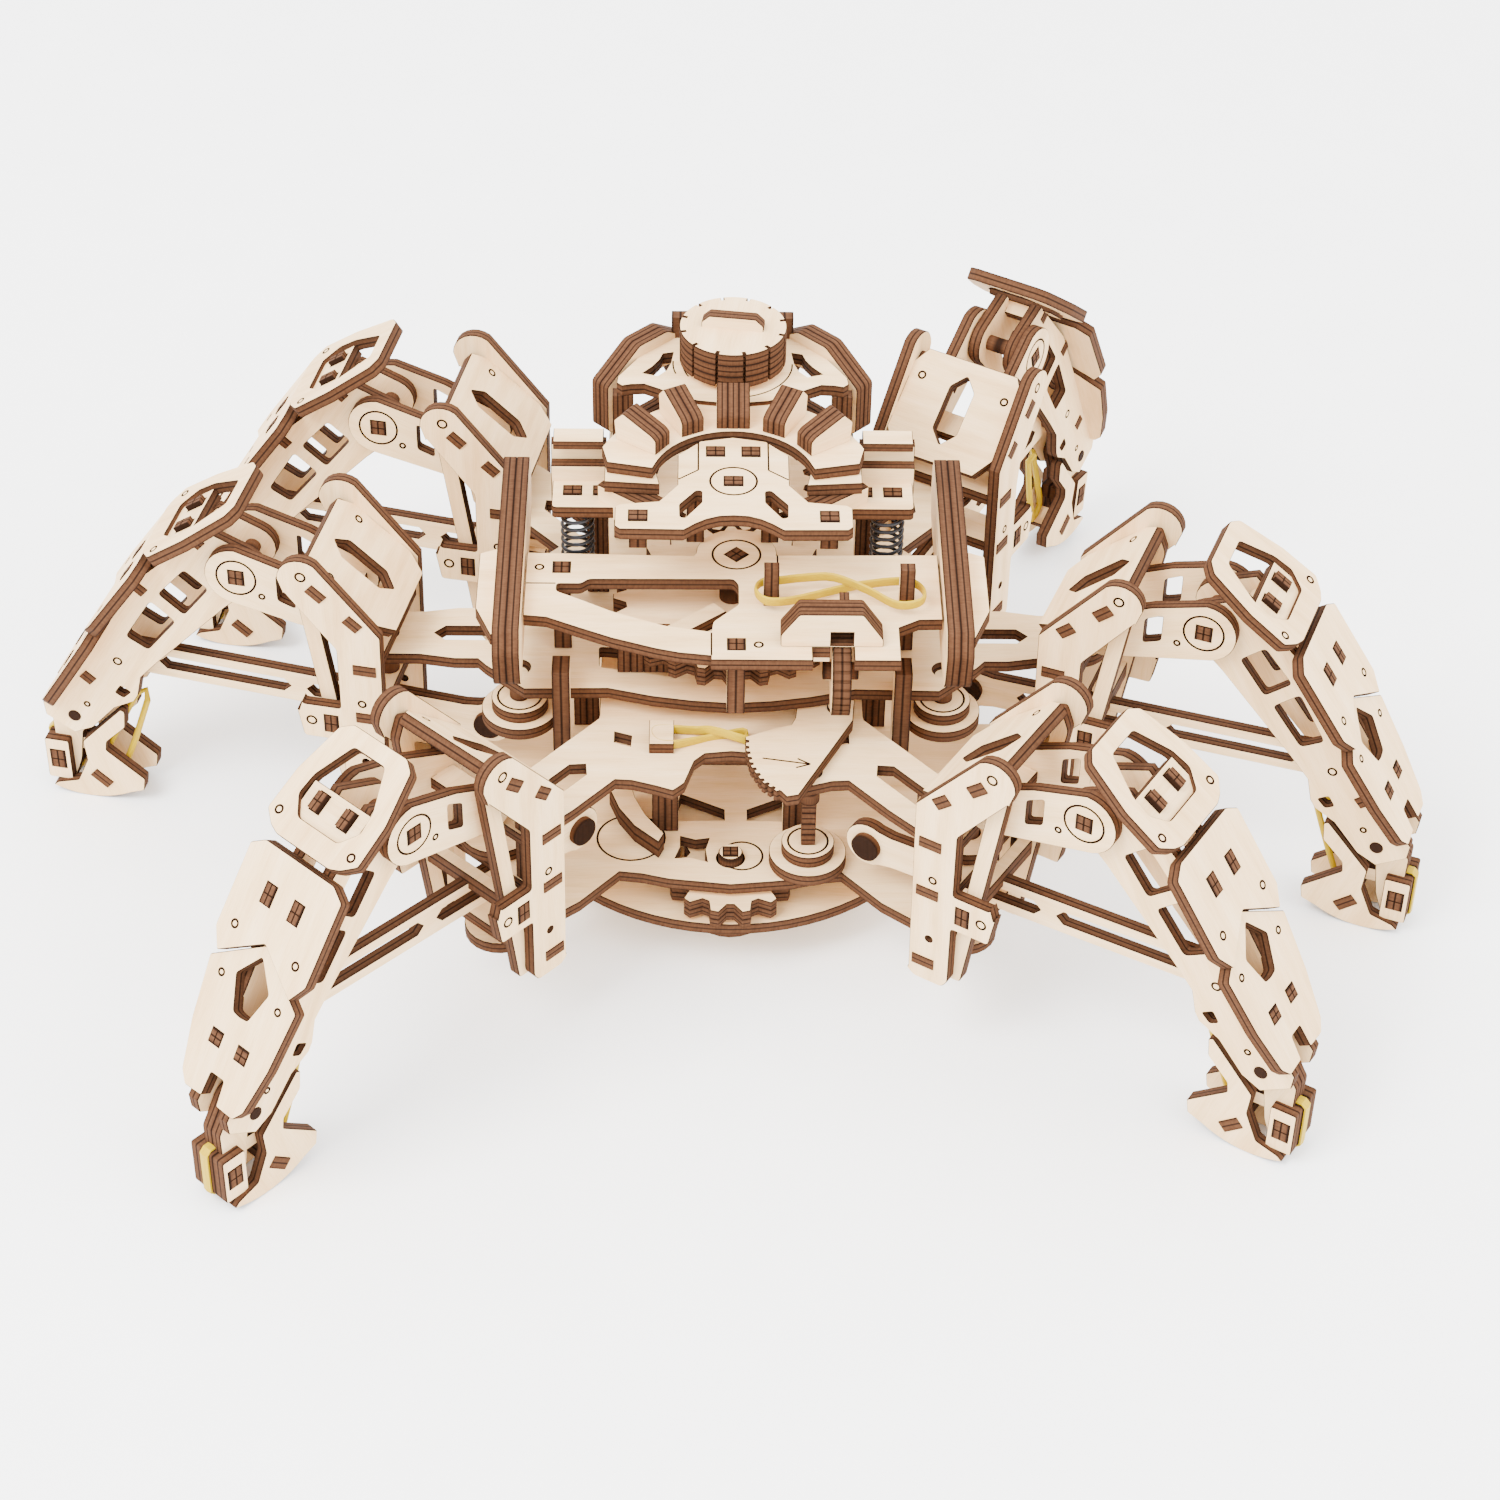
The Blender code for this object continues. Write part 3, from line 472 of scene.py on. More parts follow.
def show(name, mesh, body, place, replaced):
    """Puts a piece in the scene. One with no body is left unattached."""
    obj = bpy.data.objects.new(name, mesh)
    bpy.context.scene.collection.objects.link(obj)
    obj.matrix_world = place
    if body:
        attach(obj, body)
    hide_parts(*replaced)
    return obj


# ---------------------------------------------------------------- leg pieces
def hip_bracket():
    kit = Kit("hip_bracket")
    seven = rounded([(-4, 22.2), (-2, 20.5), (5, 20.5), (6.4, 22.5), (6.4, 38.5), (15.6, 38.5), (17,
            46.5)], 0.8)
    seven += rounded([(15.5, 48), (6.4, 48), (6.4, 65), (17.9, 79.8)], 0.8)
    seven += arc(13.6, 83.2, 5.6, 0, 125, 8) + [(-4, 70)]
    kit.pair(seven, [circle(1.2, 33, 0.9, 12)], BRACE_HALF - 0.1, BRACKET_HALF, grain=90)
    brace = rounded([(2.5, 22.5), (4.2, 21), (8, 21), (16.5, 79), (14.5, 84), (10, 82), (2.5, 74)], 1)
    window = rounded([(5.2, 27), (12.2, 76.5), (5.2, 71)], 0.8)
    kit.pair(brace, [window], 11.4, BRACE_HALF - 0.1, grain=80)
    # cross plates with a tenon at each end
    for outer, z in ((5.6, 24.4), (5.6, 44.7), (6.0, 58.6)):
        tab = BRACKET_HALF + 0.3
        shape = [(-3, -14.4), (-2.6, -14.4), (-2.6, -tab), (2.8, -tab), (2.8, -14.4), (outer, -14.4)]
        shape += [(x, -y) for x, y in reversed(shape)]
        kit.plate(shape, (), z, z + PLY, grain=90)
    # the sloped top panel and its hexagon window
    along = shift(4.9, 0, 75.5) @ tilt(41.5) @ turn(-90)
    tab = BRACKET_HALF + 0.3
    panel = [(0, -13.2), (11.0, -13.2), (14.4, -8.2), (14.4, -5.6), (tab, -5.6), (tab, -1.6), (14.4,
            -1.6)]
    panel += [(14.4, 5.0), (tab, 5.0), (tab, 9.4), (14.4, 9.4), (12, 13.2), (0, 13.2)]
    hexagon = mirrored([(0, -8.5), (3.2, -5), (3.2, 6), (0, 9.5)])
    kit.plate(mirrored(panel), [rounded(hexagon, 0.6)], -PLY / 2, PLY / 2, along)
    for x in (-11.2, 11.2):
        kit.ring_mark(x, 6.4, 1.1, PLY / 2, along)
    kit.pin(0, 0, 2.5, 46.8, 59)
    kit.pin(0, 0, 2.5, 19.5, 25)
    for side in (-1, 1):
        out = shift(0, side * BRACKET_HALF, 0) @ turn(90, "X") @ (Matrix() if side < 0 else turn(180,
                "Y"))
        flip = 1 if side < 0 else -1
        kit.tenon(flip * 8.9, 43.1, 3.0, 4.6, 0, out)
        for x, z in ((13.6, 84.4), (13.6, 43.4)):
            kit.ring_mark(flip * x, z, 1.35, 0, out)
        kit.ring_mark(flip * 1.2, 50.2, 1.1, 0, out)
    # the lug's cross plate
    tab = BRACKET_HALF
    kit.plate(rectangle(-1.5, -tab, 1.5, tab), (), 41.0, 45.2, shift(8.9, 0, 0))
    return kit.mesh()


def thigh():
    kit = Kit("thigh")
    kx, kz = KNEE[0] - THIGH_PIVOT[0], KNEE[1] - THIGH_PIVOT[1]
    side = arc(0, 0, 5.8, 95, 270, 10) + [(8, -3.8)] + arc(kx, kz, 7.5, -70, 90, 12) + [(10.5, 11)]
    window = rounded([(9.2, 1.0), (13.2, 2.6), (13.2, 9.5), (9.2, 7.4)], 0.7)
    kit.pair(side, [window], THIGH_HALF - PLY, THIGH_HALF, grain=20)
    tab = THIGH_HALF + 0.3
    cross = [(-3.0, -6.5), (-1.6, -6.5), (-1.6, -tab), (2.0, -tab), (2.0, -6.5), (3.5, -6.5)]
    kit.plate(cross + [(x, -y) for x, y in reversed(cross)], (), -1.5, 1.5)
    kit.plate(circle(kx, kz, 1.9, 24), (), -THIGH_HALF + 0.1, THIGH_HALF - 0.1, upright(), skin=EDGE)
    for flip in (-1, 1):
        out = shift(0, -flip * THIGH_HALF, 0) @ turn(90, "X") @ (Matrix() if flip > 0 else turn(180,
                "Y"))
        kit.ring_mark(flip * kx, kz, 4.9, 0, out)
        kit.tenon(flip * kx, kz, 3.4, 3.6, 0, out)
        kit.ring_mark(flip * 17, kz - 4.4, 0.9, 0, out)
    return kit.mesh()


def shin():
    kit = Kit("shin")
    side = arc(0, 0, 5.5, 70, 180, 6) + [(-4.2, -12), (-3.2, -39)]
    side += [(-3.2, -45.5), (-6.0, -50.7), (-6.4, -53), (-4.4, -58.5)]
    side += [(-4.4, -68), (-2.4, -72.8), (5.5, -74), (8.2, -71.5), (9.0, -57), (14.2, -20), (12, 2)]
    holes = [
        rounded([(1.6, -11), (8.6, -11), (8.6, -21.5), (1.0, -21.5)], 1.0),
        rounded([(1.2, -25), (8.6, -25), (6.4, -38), (0.6, -37)], 1.0),
        rounded([(-4.2, -51.2), (-1.4, -51.6), (-1.8, -54.4), (-4.0, -54)], 0.5),
    ]
    kit.pair(side, holes, SHIN_HALF - PLY, SHIN_HALF, grain=80)
    cap = mirrored([(0, -12.6), (8, -12.6), (10.6, -11.6), (13.8, -9), (13.5, 1), (10.8, 13), (8, 15),
            (0, 15)])
    cap_window = mirrored([(0, -7.2), (6, -7.2), (9.3, -3), (8.8, 2), (4.6, 11), (0, 11)])
    kneecap_at = shift(14.4, 0, 0) @ tilt(15) @ FACING_OUT
    kit.plate(rounded(cap, 0.6), [rounded(cap_window, 0.8)], -PLY / 2, PLY / 2, kneecap_at, grain=90)
    # the tongue across the kneecap's window, with the two tenons in it
    kit.plate(rectangle(-8.6, -7.4, 8.6, 1.2), (), -PLY / 2 - 1.0, PLY / 2 - 1.0, kneecap_at, grain=0)
    for x in (-4.2, 4.2):
        kit.tenon(x, -2.3, 2.6, 4.2, PLY / 2 - 1.0, kneecap_at, proud=1.2)
        kit.ring_mark(x * 2.62, -8.1, 1.1, PLY / 2, kneecap_at)
    upper = [(0, -33.2), (11.2, -40.4), (14, -36), (14, -19), (14, -16.5), (10.4, -14.2), (0, -14.2)]
    upper_at = shift(18.0, 0, 0) @ tilt(-6) @ FACING_OUT
    kit.plate(rounded(mirrored(upper), 0.5), (), -PLY / 2, PLY / 2, upper_at, grain=90)
    for x in (-4.2, 4.2):
        kit.tenon(x, -23.8, 2.8, 4.4, PLY / 2, upper_at)
        kit.ring_mark(x * 2.24, -33.3, 1.1, PLY / 2, upper_at)
    lower = [(0, -64.6), (2, -64.6), (2.4, -70.4), (7.6, -70.6), (9.7, -68), (12, -57), (13.4, -42.6),
            (0, -33.6)]
    kite = mirrored([(0, -50.5), (2.2, -50.2), (5, -42.6), (0, -36.4)])
    lower_at = shift(19.3, 0, 0) @ tilt(-9.5) @ FACING_OUT
    kit.plate(rounded(mirrored(lower), 0.5), [rounded(kite, 0.6)], -PLY / 2, PLY / 2, lower_at,
            grain=90)
    for x in (-4, 4):
        kit.tenon(x, -57.4, 3.0, 3.0, PLY / 2, lower_at)
        kit.ring_mark(x * 2.2, -44.5, 1.0, PLY / 2, lower_at)
    reach = SHIN_HALF + 0.25
    for x0, x1, z in ((8.8, 14.2, -3.6), (9.0, 16.0, -25.5), (1.0, 9.6, -57.5)):
        middle = (x0 + x1) / 2
        cross = [(x0, -3.2), (middle - 1.6, -3.2), (middle - 1.6, -reach), (middle + 1.6, -reach)]
        cross += [(middle + 1.6, -3.2), (x1, -3.2)]
        kit.plate(cross + [(x, -y) for x, y in reversed(cross)], (), z, z + PLY)
    kit.plate(circle(0.7, -ANKLE, 1.6, 16), (), -SHIN_HALF - 0.3, SHIN_HALF + 0.3, upright(), skin=EDGE)
    for flip in (-1, 1):
        out = shift(0, -flip * SHIN_HALF, 0) @ turn(90, "X") @ (Matrix() if flip > 0 else turn(180,
                "Y"))
        kit.ring_mark(flip * 3.4, -46, 1.2, 0, out)
        kit.ring_mark(flip * 0.7, -63, 0.9, 0, out)
    return kit.mesh()


def foot():
    kit = Kit("foot")
    claw = [(-6.0, -5.1), (-6.4, 10.6), (-7.6, 10.8), (-10.4, 6.9), (-10.0, -0.5), (-11.5, -2.8),
            (-23.2, -2.5)]
    claw += [(-25.2, -5.6)] + arc(-2.2, -1.2, 22.6, 200, 252, 10) + [(-9.4, -21.0), (-12.4, -16.2),
            (-10.2, -9.1)]
    kit.pair(rounded(claw, 0.4, 2), (), SHIN_HALF - PLY, SHIN_HALF, grain=30)
    tab = SHIN_HALF + 0.3
    kit.plate(rectangle(-18.6, -tab, -13.4, tab), (), -12.4, -9.4)
    hub = arc(0, 0, 4.2, 0, 140, 8) + [(-5.2, -6), (-9.8, -13), (-12.6, -19.8), (-8.6, -20.6), (2.8,
            -8)]
    kit.stacked(rounded(hub, 0.4, 2), (), -2.8, 2.8, upright(), grain=30)
    toe = tilt(-41) @ shift(6.6, 0, 0) @ upright()
    kit.stacked(rounded(rectangle(-3.5, -21.5, 2.6, -9.5), 0.6), (), -5.2, 5.2, toe, grain=90)
    kit.tenon(-0.4, -15.4, 3.4, 5.0, 5.2, toe)
    kit.tenon(-0.4, 15.4, 3.4, 5.0, 5.2, toe @ turn(180, "X"))
    kit.plate(rectangle(-10.0, -13.5, -2.6, -9.8), (), -2.4, 2.4, toe)
    # the flat band that wraps the toe block from top to bottom
    loop = [(2.0, -9.0), (3.0, -9.9), (3.0, -21.1), (2.0, -22.0), (-3.0, -22.0), (-3.9, -21.1), (-3.9,
            -9.9), (-3.0, -9.0)]
    placed = [toe @ (Vector((x, z, 0.4)) * MM) / MM for x, z in loop]
    kit.tube(placed, 0.4, True, 6, RUBBER, 3.4, (0, 1, 0))
    return kit.mesh()


def push_rod():
    kit = Kit("push_rod")
    half = 4.3
    bar = arc(0, 0, 5.6, 60, 300, 16) + [(6, -half), (ROD_LENGTH, -half)]
    bar += arc(ROD_LENGTH, 0, half, -45, 45, 5) + [(ROD_LENGTH, half), (6, half)]
    holes = [pointed_slot(28, 32, 3.4), pointed_slot(64, 32, 3.4)]
    kit.plate(bar, holes, -PLY / 2, PLY / 2, upright())
    kit.plate(circle(0, 0, 3.4, 24), (), -3.2, 3.2, upright(), skin=EDGE)
    kit.plate(circle(ROD_LENGTH - 1, 0, 1.5, 16), (), -2.6, 2.6, upright(), skin=EDGE)
    return kit.mesh()


def pointed_slot(middle, length, width):
    tip, shoulder, half = length / 2, length / 2 - width / 2, width / 2
    right = [(shoulder, -half), (tip, 0), (shoulder, half)]
    left = [(-shoulder, half), (-tip, 0), (-shoulder, -half)]
    return [(middle + x, y) for x, y in right + left]


def foot_band():
    """Stretched loop from the shin's hook to the claws' cross block."""
    kit = Kit("foot_band")
    path = [(-8.4, 0, 15.2), (-7.2, 1.4, 13.6), (-9.6, 1.6, 4), (-12.4, 1.7, -6.2), (-14.2, 1.5, -8.4)]
    path += [(-16.8, 1.5, -8.5), (-18.6, 1.4, -7.4), (-15.2, 1.5, 2), (-10.2, 1.2, 14.0)]
    kit.tube(path, 0.8, True, 8, RUBBER, 1.0, (0, 1, 0))
    return kit.mesh()


# ---------------------------------------------------------------- body pieces
def star(arms, between, half=9.5, neck=8.0):
    """The outline of a plate with arms: (angle, root before, root after) for each, with points between."""
    outline = []
    for (angle, before, after), points in zip(arms, between):
        tip = [(before, -half), (HIP_REACH - 16, -half), (HIP_REACH - 8, -neck)]
        tip += arc(HIP_REACH, 0, neck, -90, 90, 12)
        tip += [(HIP_REACH - 8, neck), (HIP_REACH - 16, half), (after, half)]
        a = math.radians(angle)
        outline += [(x * math.cos(a) - y * math.sin(a), x * math.sin(a) + y * math.cos(a)) for x,
                y in tip]
        outline += points
    return outline


def at_angle(points, angle):
    a = math.radians(angle)
    return [(x * math.cos(a) - y * math.sin(a), x * math.sin(a) + y * math.cos(a)) for x, y in points]


def arm_holes(angles, slotted):
    holes = []
    for angle in angles:
        holes.append(at_angle(circle(HIP_REACH, 0, 2.8, 20), angle))
        if slotted:
            holes.append(at_angle(pointed_slot(HIP_REACH - 20, 18, 5), angle))
    return holes


def lower_hip_plate(kit):
    arms = [(-49.5, 50, 54), (0, 46, 46), (49.5, 54, 48), (130.5, 48, 54), (180, 46, 46), (229.5, 54,
            50)]
    between = [
        [(43, -33), (44, -16)],
        [(44, 16), (43, 33)],
        [(18, 42), (0, 44), (-18, 42)],
        [(-43, 33), (-44, 16)],
        [(-44, -16), (-43, -33)],
        [(-20, -44.9), (-14, -46.6), (0, -48.4), (14, -46.8), (20, -44.9)],
    ]
    square = [(-11.4, -32), (-8, -33.2), (-4.9, -32.6), (-5.8, -36.6), (-5.3, -40.6), (-9, -39.2),
            (-12.6, -39.4), (-11.4, -35.6)]
    fan = [(-11.4, -17.2), (-1.4, -22.6), (-1.4, -26.2), (-13.6, -26.6)]
    holes = [square, fan, [(2.6 - x, y) for x, y in fan], circle(0, PINION_Y, 3.2), circle(*CRANK_FRONT,
            2.7, 20)]
    holes += [circle(0, 0, 5)] + arm_holes([a for a, _, _ in arms], False)
    kit.plate(star(arms, between), holes, LOWER_Z, LOWER_Z + PLY)
    top = LOWER_Z + PLY
    for side in (-1, 1):
        kit.post(side * 34, 11, top, UPPER_Z - 0.3, 3, 3)
    for angle, _, _ in arms:
        kit.ring_mark(HIP_REACH, 0, 4.6, 0, turn(angle) @ shift(0, 0, top))
    kit.ring_mark(-22.8, -32.6, 8, top, sides=32)
    kit.ring_mark(2.6, -38.6, 5, top, sides=32)
    # the upright curved fin beside the square window
    fin = [(-28, -21), (-25.6, -28), (-22, -34), (-16.4, -39.6), (-15.2, -36.6), (-19.6, -30), (-22,
            -24), (-23, -19.4)]
    kit.plate(fin, (), top, top + 5)


def bottom_disc(kit):
    kit.plate(circle(0, 0, 51, 72), [circle(0, 0, 3.2)], DISC_Z, DISC_Z + PLY)
    kit.pin(0, PINION_Y, 9, BOSS_Z, DISC_Z + 0.1)
    for angle in (30, 90, 150, 205, 335):
        x, y = at_angle([(44.5, 0)], angle)[0]
        kit.pin(x, y, 3, DISC_Z + 0.5, LOWER_Z - 0.3, skin=EDGE, sides=16)


def front_hip_plate(kit):
    arms = [(-49.5, 50, 36.5), (229.5, 36.5, 50)]
    nose = [(-22.3, -43.8), (-17, -45.6), (-13.1, -47.2), (-10.6, -44.6), (-8.4, -37), (-6, -34.4), (0,
            -33.6)]
    between = [[(30, -21), (30, 4), (-30, 4), (-30, -21)], nose + [(-x, y) for x,
            y in reversed(nose[:-1])]]
    slot = [(-26.4, -27), (-22.6, -28.4), (-22.8, -32), (-26.4, -30.6)]
    holes = [circle(0, 0, 3.8), circle(*CRANK_FRONT, 2.7, 20), circle(*LEVER_PIVOT, 2.8, 20), slot,
            [(-x, y) for x, y in slot]]
    holes += arm_holes([-49.5, 229.5], True)
    kit.plate(star(arms, between, 8.5), holes, FRONT_Z, FRONT_Z + PLY)
    for side in (-1, 1):
        kit.post(side * 15, -27.8, LOWER_Z + PLY + 0.3, FRONT_Z, 3, 2.6)
    # the loop's hook at the left
    kit.plate([(-18.6, -26), (-13, -26), (-13, -34.6), (-18.6, -34.6)], (), FRONT_Z + PLY,
            FRONT_Z + PLY + 2.8)
    # the pale reel behind the lever
    kit.stacked(rectangle(-9, -24.4, 14, -17.8), (), FRONT_Z - 9, FRONT_Z)


def upper_hip_plate(kit):
    arms = [(0, 58, 46), (49.5, 52, 42), (130.5, 42, 52), (180, 46, 58)]
    front = [(-56, -12), (-47, -20.4), (-28, -20), (-18, -22.8), (-9, -24.4), (0, -25.2)]
    between = [
        [(44, 11), (44, 30)],
        [(18, 38), (10, 53), (0, 55), (-10, 53), (-18, 38)],
        [(-44, 30), (-44, 11)],
        front + [(-x, y) for x, y in reversed(front[:-1])],
    ]
    holes = [circle(0, 0, 3.8), circle(0, WINDING_Y, 3.8)] + arm_holes([a for a, _, _ in arms], True)
    holes.append(rounded([(-30.3, -5), (-30.1, -12.2), (-13.7, -15.6), (-9.6, -10.4), (-11, -7)], 0.8))
    for side in (-1, 1):
        holes.append(circle(side * CRANK_SIDE[0], CRANK_SIDE[1], 2.7, 20))
    kit.plate(star(arms, between), holes, UPPER_Z, UPPER_Z + PLY)
    for side in (-1, 1):
        x = side * 38.5
        kit.post(x, -21.4, 41.6, 66, 2.0, 3.1)


def front_deck(kit):
    outline = [(-46.6, 1.7), (-46.6, -21.6), (-41.5, -22.2), (-34, -26), (-26.6, -29.6), (-17, -33.2),
            (-11.9, -34.6)]
    outline += [(-4.9, -35.6), (-4.9, -37), (17.4, -37), (17.4, -32.4), (21.4, -32.4), (21.4, -15.8)]
    outline += [(26.6, -15.8), (26.6, -37), (36.8, -37), (36.8, -25.2), (41.4, -22.4), (46.6, -22.2),
            (46.6, 1.7)]
    outline += [(10, 1.2)] + arc(0.9, 1.9, 9.2, 0, 180, 14) + [(-9, 0.8)]
    window = [(-39.5, -9.9), (-34, -9.9), (-32.4, -8.2), (0.2, -8), (1.2, -10), (1.2, -17.2), (-4.5,
            -23.5)]
    window += [(-4.8, -27), (-14.9, -25), (-26.8, -19.9), (-35.4, -14.8), (-39.5, -12.6)]
    kit.plate(outline, [rounded(window, 0.8)], DECK_Z, DECK_Z + PLY)
    top = DECK_Z + PLY
    kit.ring_mark(0.9, 1.4, 5.7, top, sides=32)
    kit.tenon(0, 0, 3.6, 3.6, top, shift(0.9, 1.4, 0) @ turn(45))
    for x, y, low in ((-38.6, -3.8, UPPER_Z + PLY + 0.3), (39.5, -3.8, UPPER_Z + PLY + 0.3), (0.7,
            -31.5, 62)):
        kit.post(x, y, low, DECK_Z)
        if x < 39:
            kit.tenon(x, y, 3.6, 3.8, top)
    kit.ring_mark(-43.6, -3.8, 1.15, top)
    kit.ring_mark(5.6, -31.6, 1.15, top)
    kit.line_mark([(-46.4, -9.8), (-39.8, -9.8)], top, width=0.38)
    kit.line_mark([(-4.8, -35.4), (-4.8, -27.4)], top, width=0.38)
    kit.line_mark([(10.2, 1.2), (10.2, -14.4)], top, width=0.38)
    # the loops' two thin posts and the grip over the wheel
    for x in (8.5, 38.7):
        kit.stacked(rectangle(-17.6, top - 0.2, -14.8, top + 10), (), x - 1.7, x + 1.7, FACING_OUT,
                rim=0.1)
    arch = [(10.4, top), (33, top), (33, top + 2), (28.4, top + 8.8), (14.4, top + 8.8), (10.4,
            top + 3.2)]
    kit.stacked(rounded(arch, 0.5), [rectangle(21.4, top + 0.2, 26.4, top + 4)], 26.4, 32.2, upright())
    kit.plate(rectangle(17.6, 75.5, 21.4, top), (), 27.6, 31.9, upright())
    kit.post(24.4, -24.4, top - 0.2, top + 8, 1.1, 1.6)
    axle = shift(0, WHEEL_AXLE[1], WHEEL_AXLE[2]) @ FACING_OUT
    kit.plate(circle(0, 0, 2.0, 20), (), 20, 28, axle, skin=EDGE)
    # the pawl that shows through the window
    pawl = at_angle([(-7.5, -2.2), (7.5, -2.2), (7.5, 2.2), (-7.5, 2.2)], 40)
    kit.stacked([(x - 8.5, y - 12.5) for x, y in pawl], (), 64, 72)
    kit.post(-20, -13, UPPER_Z + PLY + 0.3, 70, 6, 1.5)


def side_cheek(kit, side):
    outline = [(-35, 79), (-33, 70), (-30, 67), (-20, 67), (30, 70), (34, 74), (34, 82), (31, 86), (20,
            86), (-32, 84)]
    low, high = sorted((side * 47.0, side * 53.0))
    kit.stacked(rounded(outline, 1.0), (), low, high, FACING_OUT)
    wing = [(side * x, y) for x, y in ((52.2, 3.6), (57.3, 1.2), (57.3, -19), (53.6, -28.6), (52.2,
            -28.6))]
    kit.plate(wing, (), DECK_Z, DECK_Z + PLY)


def bridge(kit):
    half = [(0, -11), (3.2, -11.3), (6, -12.4), (8.6, -14.2), (11, -16.4), (25.2, -16.2), (26.3, -15),
            (26.3, -8)]
    half += [(25.2, -6.9), (16.6, -5.8), (12.5, 0.5), (12.5, 12), (7.4, 17.4), (0, 19)]
    window = [(10.8, -12), (11.9, -11.6), (12, -7), (8.3, -1.7), (7.1, -1.9), (7.1, -6.1)]
    holes = [rounded(window, 0.5), rounded([(-x, y) for x, y in window], 0.5)]
    top = BRIDGE_Z + PLY
    kit.plate(mirrored(half), holes, BRIDGE_Z, top)
    kit.ring_mark(0, 2, 5.5, top, sides=32)
    kit.tenon(0, 2, 3.9, 3.4, top)
    for x in (-21.2, 21.2):
        kit.post(x, -10.4, BRIDGE_Z - 5, BRIDGE_Z)
        kit.post(x * 0.4, 7.6, DECK_Z + PLY + 0.3, BRIDGE_Z)
        kit.tenon(x, -11.2, 3.8, 3.8, top)
    for side in (-1, 1):
        kit.tenon(side * 4, 13.4, 3.8, 3.6, top)
        kit.line_mark([(side * 7.9, 17), (side * 7.9, 6.2), (side * 12.3, 2.6)], top, width=0.38)


def fin_ring(kit):
    low, top = FIN_RING_Z, FIN_RING_Z + PLY
    ring = arc(0, 1.5, 32, 22, 158, 24) + [(-28.4, 7.6), (-18.2, 5.4)] + arc(0, 1.5, 18.4, 158, 22, 20)
    ring += [(18.2, 5.4), (28.4, 7.6)]
    kit.plate(ring, (), low, top)
    for angle, wide in ((35, 2.8), (62, 2.8), (90, 3.8), (118, 2.8), (145, 2.8)):
        place = shift(0, 1.5, 0) @ turn(angle)
        fin = [(19.4, top - 0.1), (30.5, top - 0.1), (31, top + 5), (28.6, top + 7.6), (20.6,
                top + 4.6), (19.4, top + 3.6)]
        if angle == 90:
            fin = [(19.4, top - 0.1), (28.2, top - 0.1), (28.2, top + 6.6), (27.6, top + 7.2), (20.4,
                    top + 4.4), (19.4, top + 3.2)]
        kit.stacked(rounded(fin, 0.4), (), -wide, wide, place @ upright())
    for side in (-1, 1):
        # the stepped stack under each end of the ring, and the brace beside it
        step = [(side * x, y) for x, y in ((16.6, 3.6), (29, 4.6), (29, 14), (18, 12))]
        kit.plate(step, (), low - PLY - 0.2, low - 0.2)
        brace = shift(side * 23, 5.2, 0) @ turn(side * 38) @ upright()
        kit.stacked(rectangle(-7.5, FIN_Z - 3, 7.5, low - PLY - 0.3), (), -2.8, 2.8, brace)
        # the spring's seat with its two tenons
        x0, x1 = sorted((side * 24, side * 41))
        kit.plate(rounded(rectangle(x0, 4.8, x1, 15.6), 1.2), (), FIN_Z - 2.6, FIN_Z + 0.4)
        kit.tenon(side * 36.4, 11.4, 3.8, 3.4, FIN_Z + 0.4)
        kit.tenon(side * 29.6, 11.4, 3.8, 3.4, FIN_Z + 0.4)
        x0, x1 = sorted((side * 28.8, side * 41.4))
        facing_back = Matrix(((1, 0, 0, 0), (0, 0, 1, 0), (0, 1, 0, 0), (0, 0, 0, 1)))
        for step, height in enumerate((FIN_Z + 4.6, FIN_Z + 8.6)):
            kit.stacked(rectangle(x0, FIN_Z - 9, x1, height), (), 15 + 3 * step, 18 + 3 * step,
                    facing_back)
        x0, x1 = sorted((side * 29.4, side * 40.8))
        kit.plate(rectangle(x0, 15.4, x1, 20.8), (), FIN_Z + 8.8, FIN_Z + 11)
        kit.post(side * 31, 18, UPPER_Z + PLY + 0.3, FIN_Z - 9, 2.5, 2.5)


def coil_spring(kit, side):
    """A black steel wire wound round its guide."""
    low, high = UPPER_Z + 13, FIN_Z - 2.9
    turns, steps, wire = 9, 24, 0.42
    path = []
    for i in range(turns * steps + 1):
        a = 2 * math.pi * i / steps
        z = low + wire + (high - low - 2 * wire) * i / (turns * steps)
        path.append((side * 35.3 + 3.5 * math.cos(a), 8.0 + 3.5 * math.sin(a), z))
    kit.tube(path, wire, False, 8, STEEL)


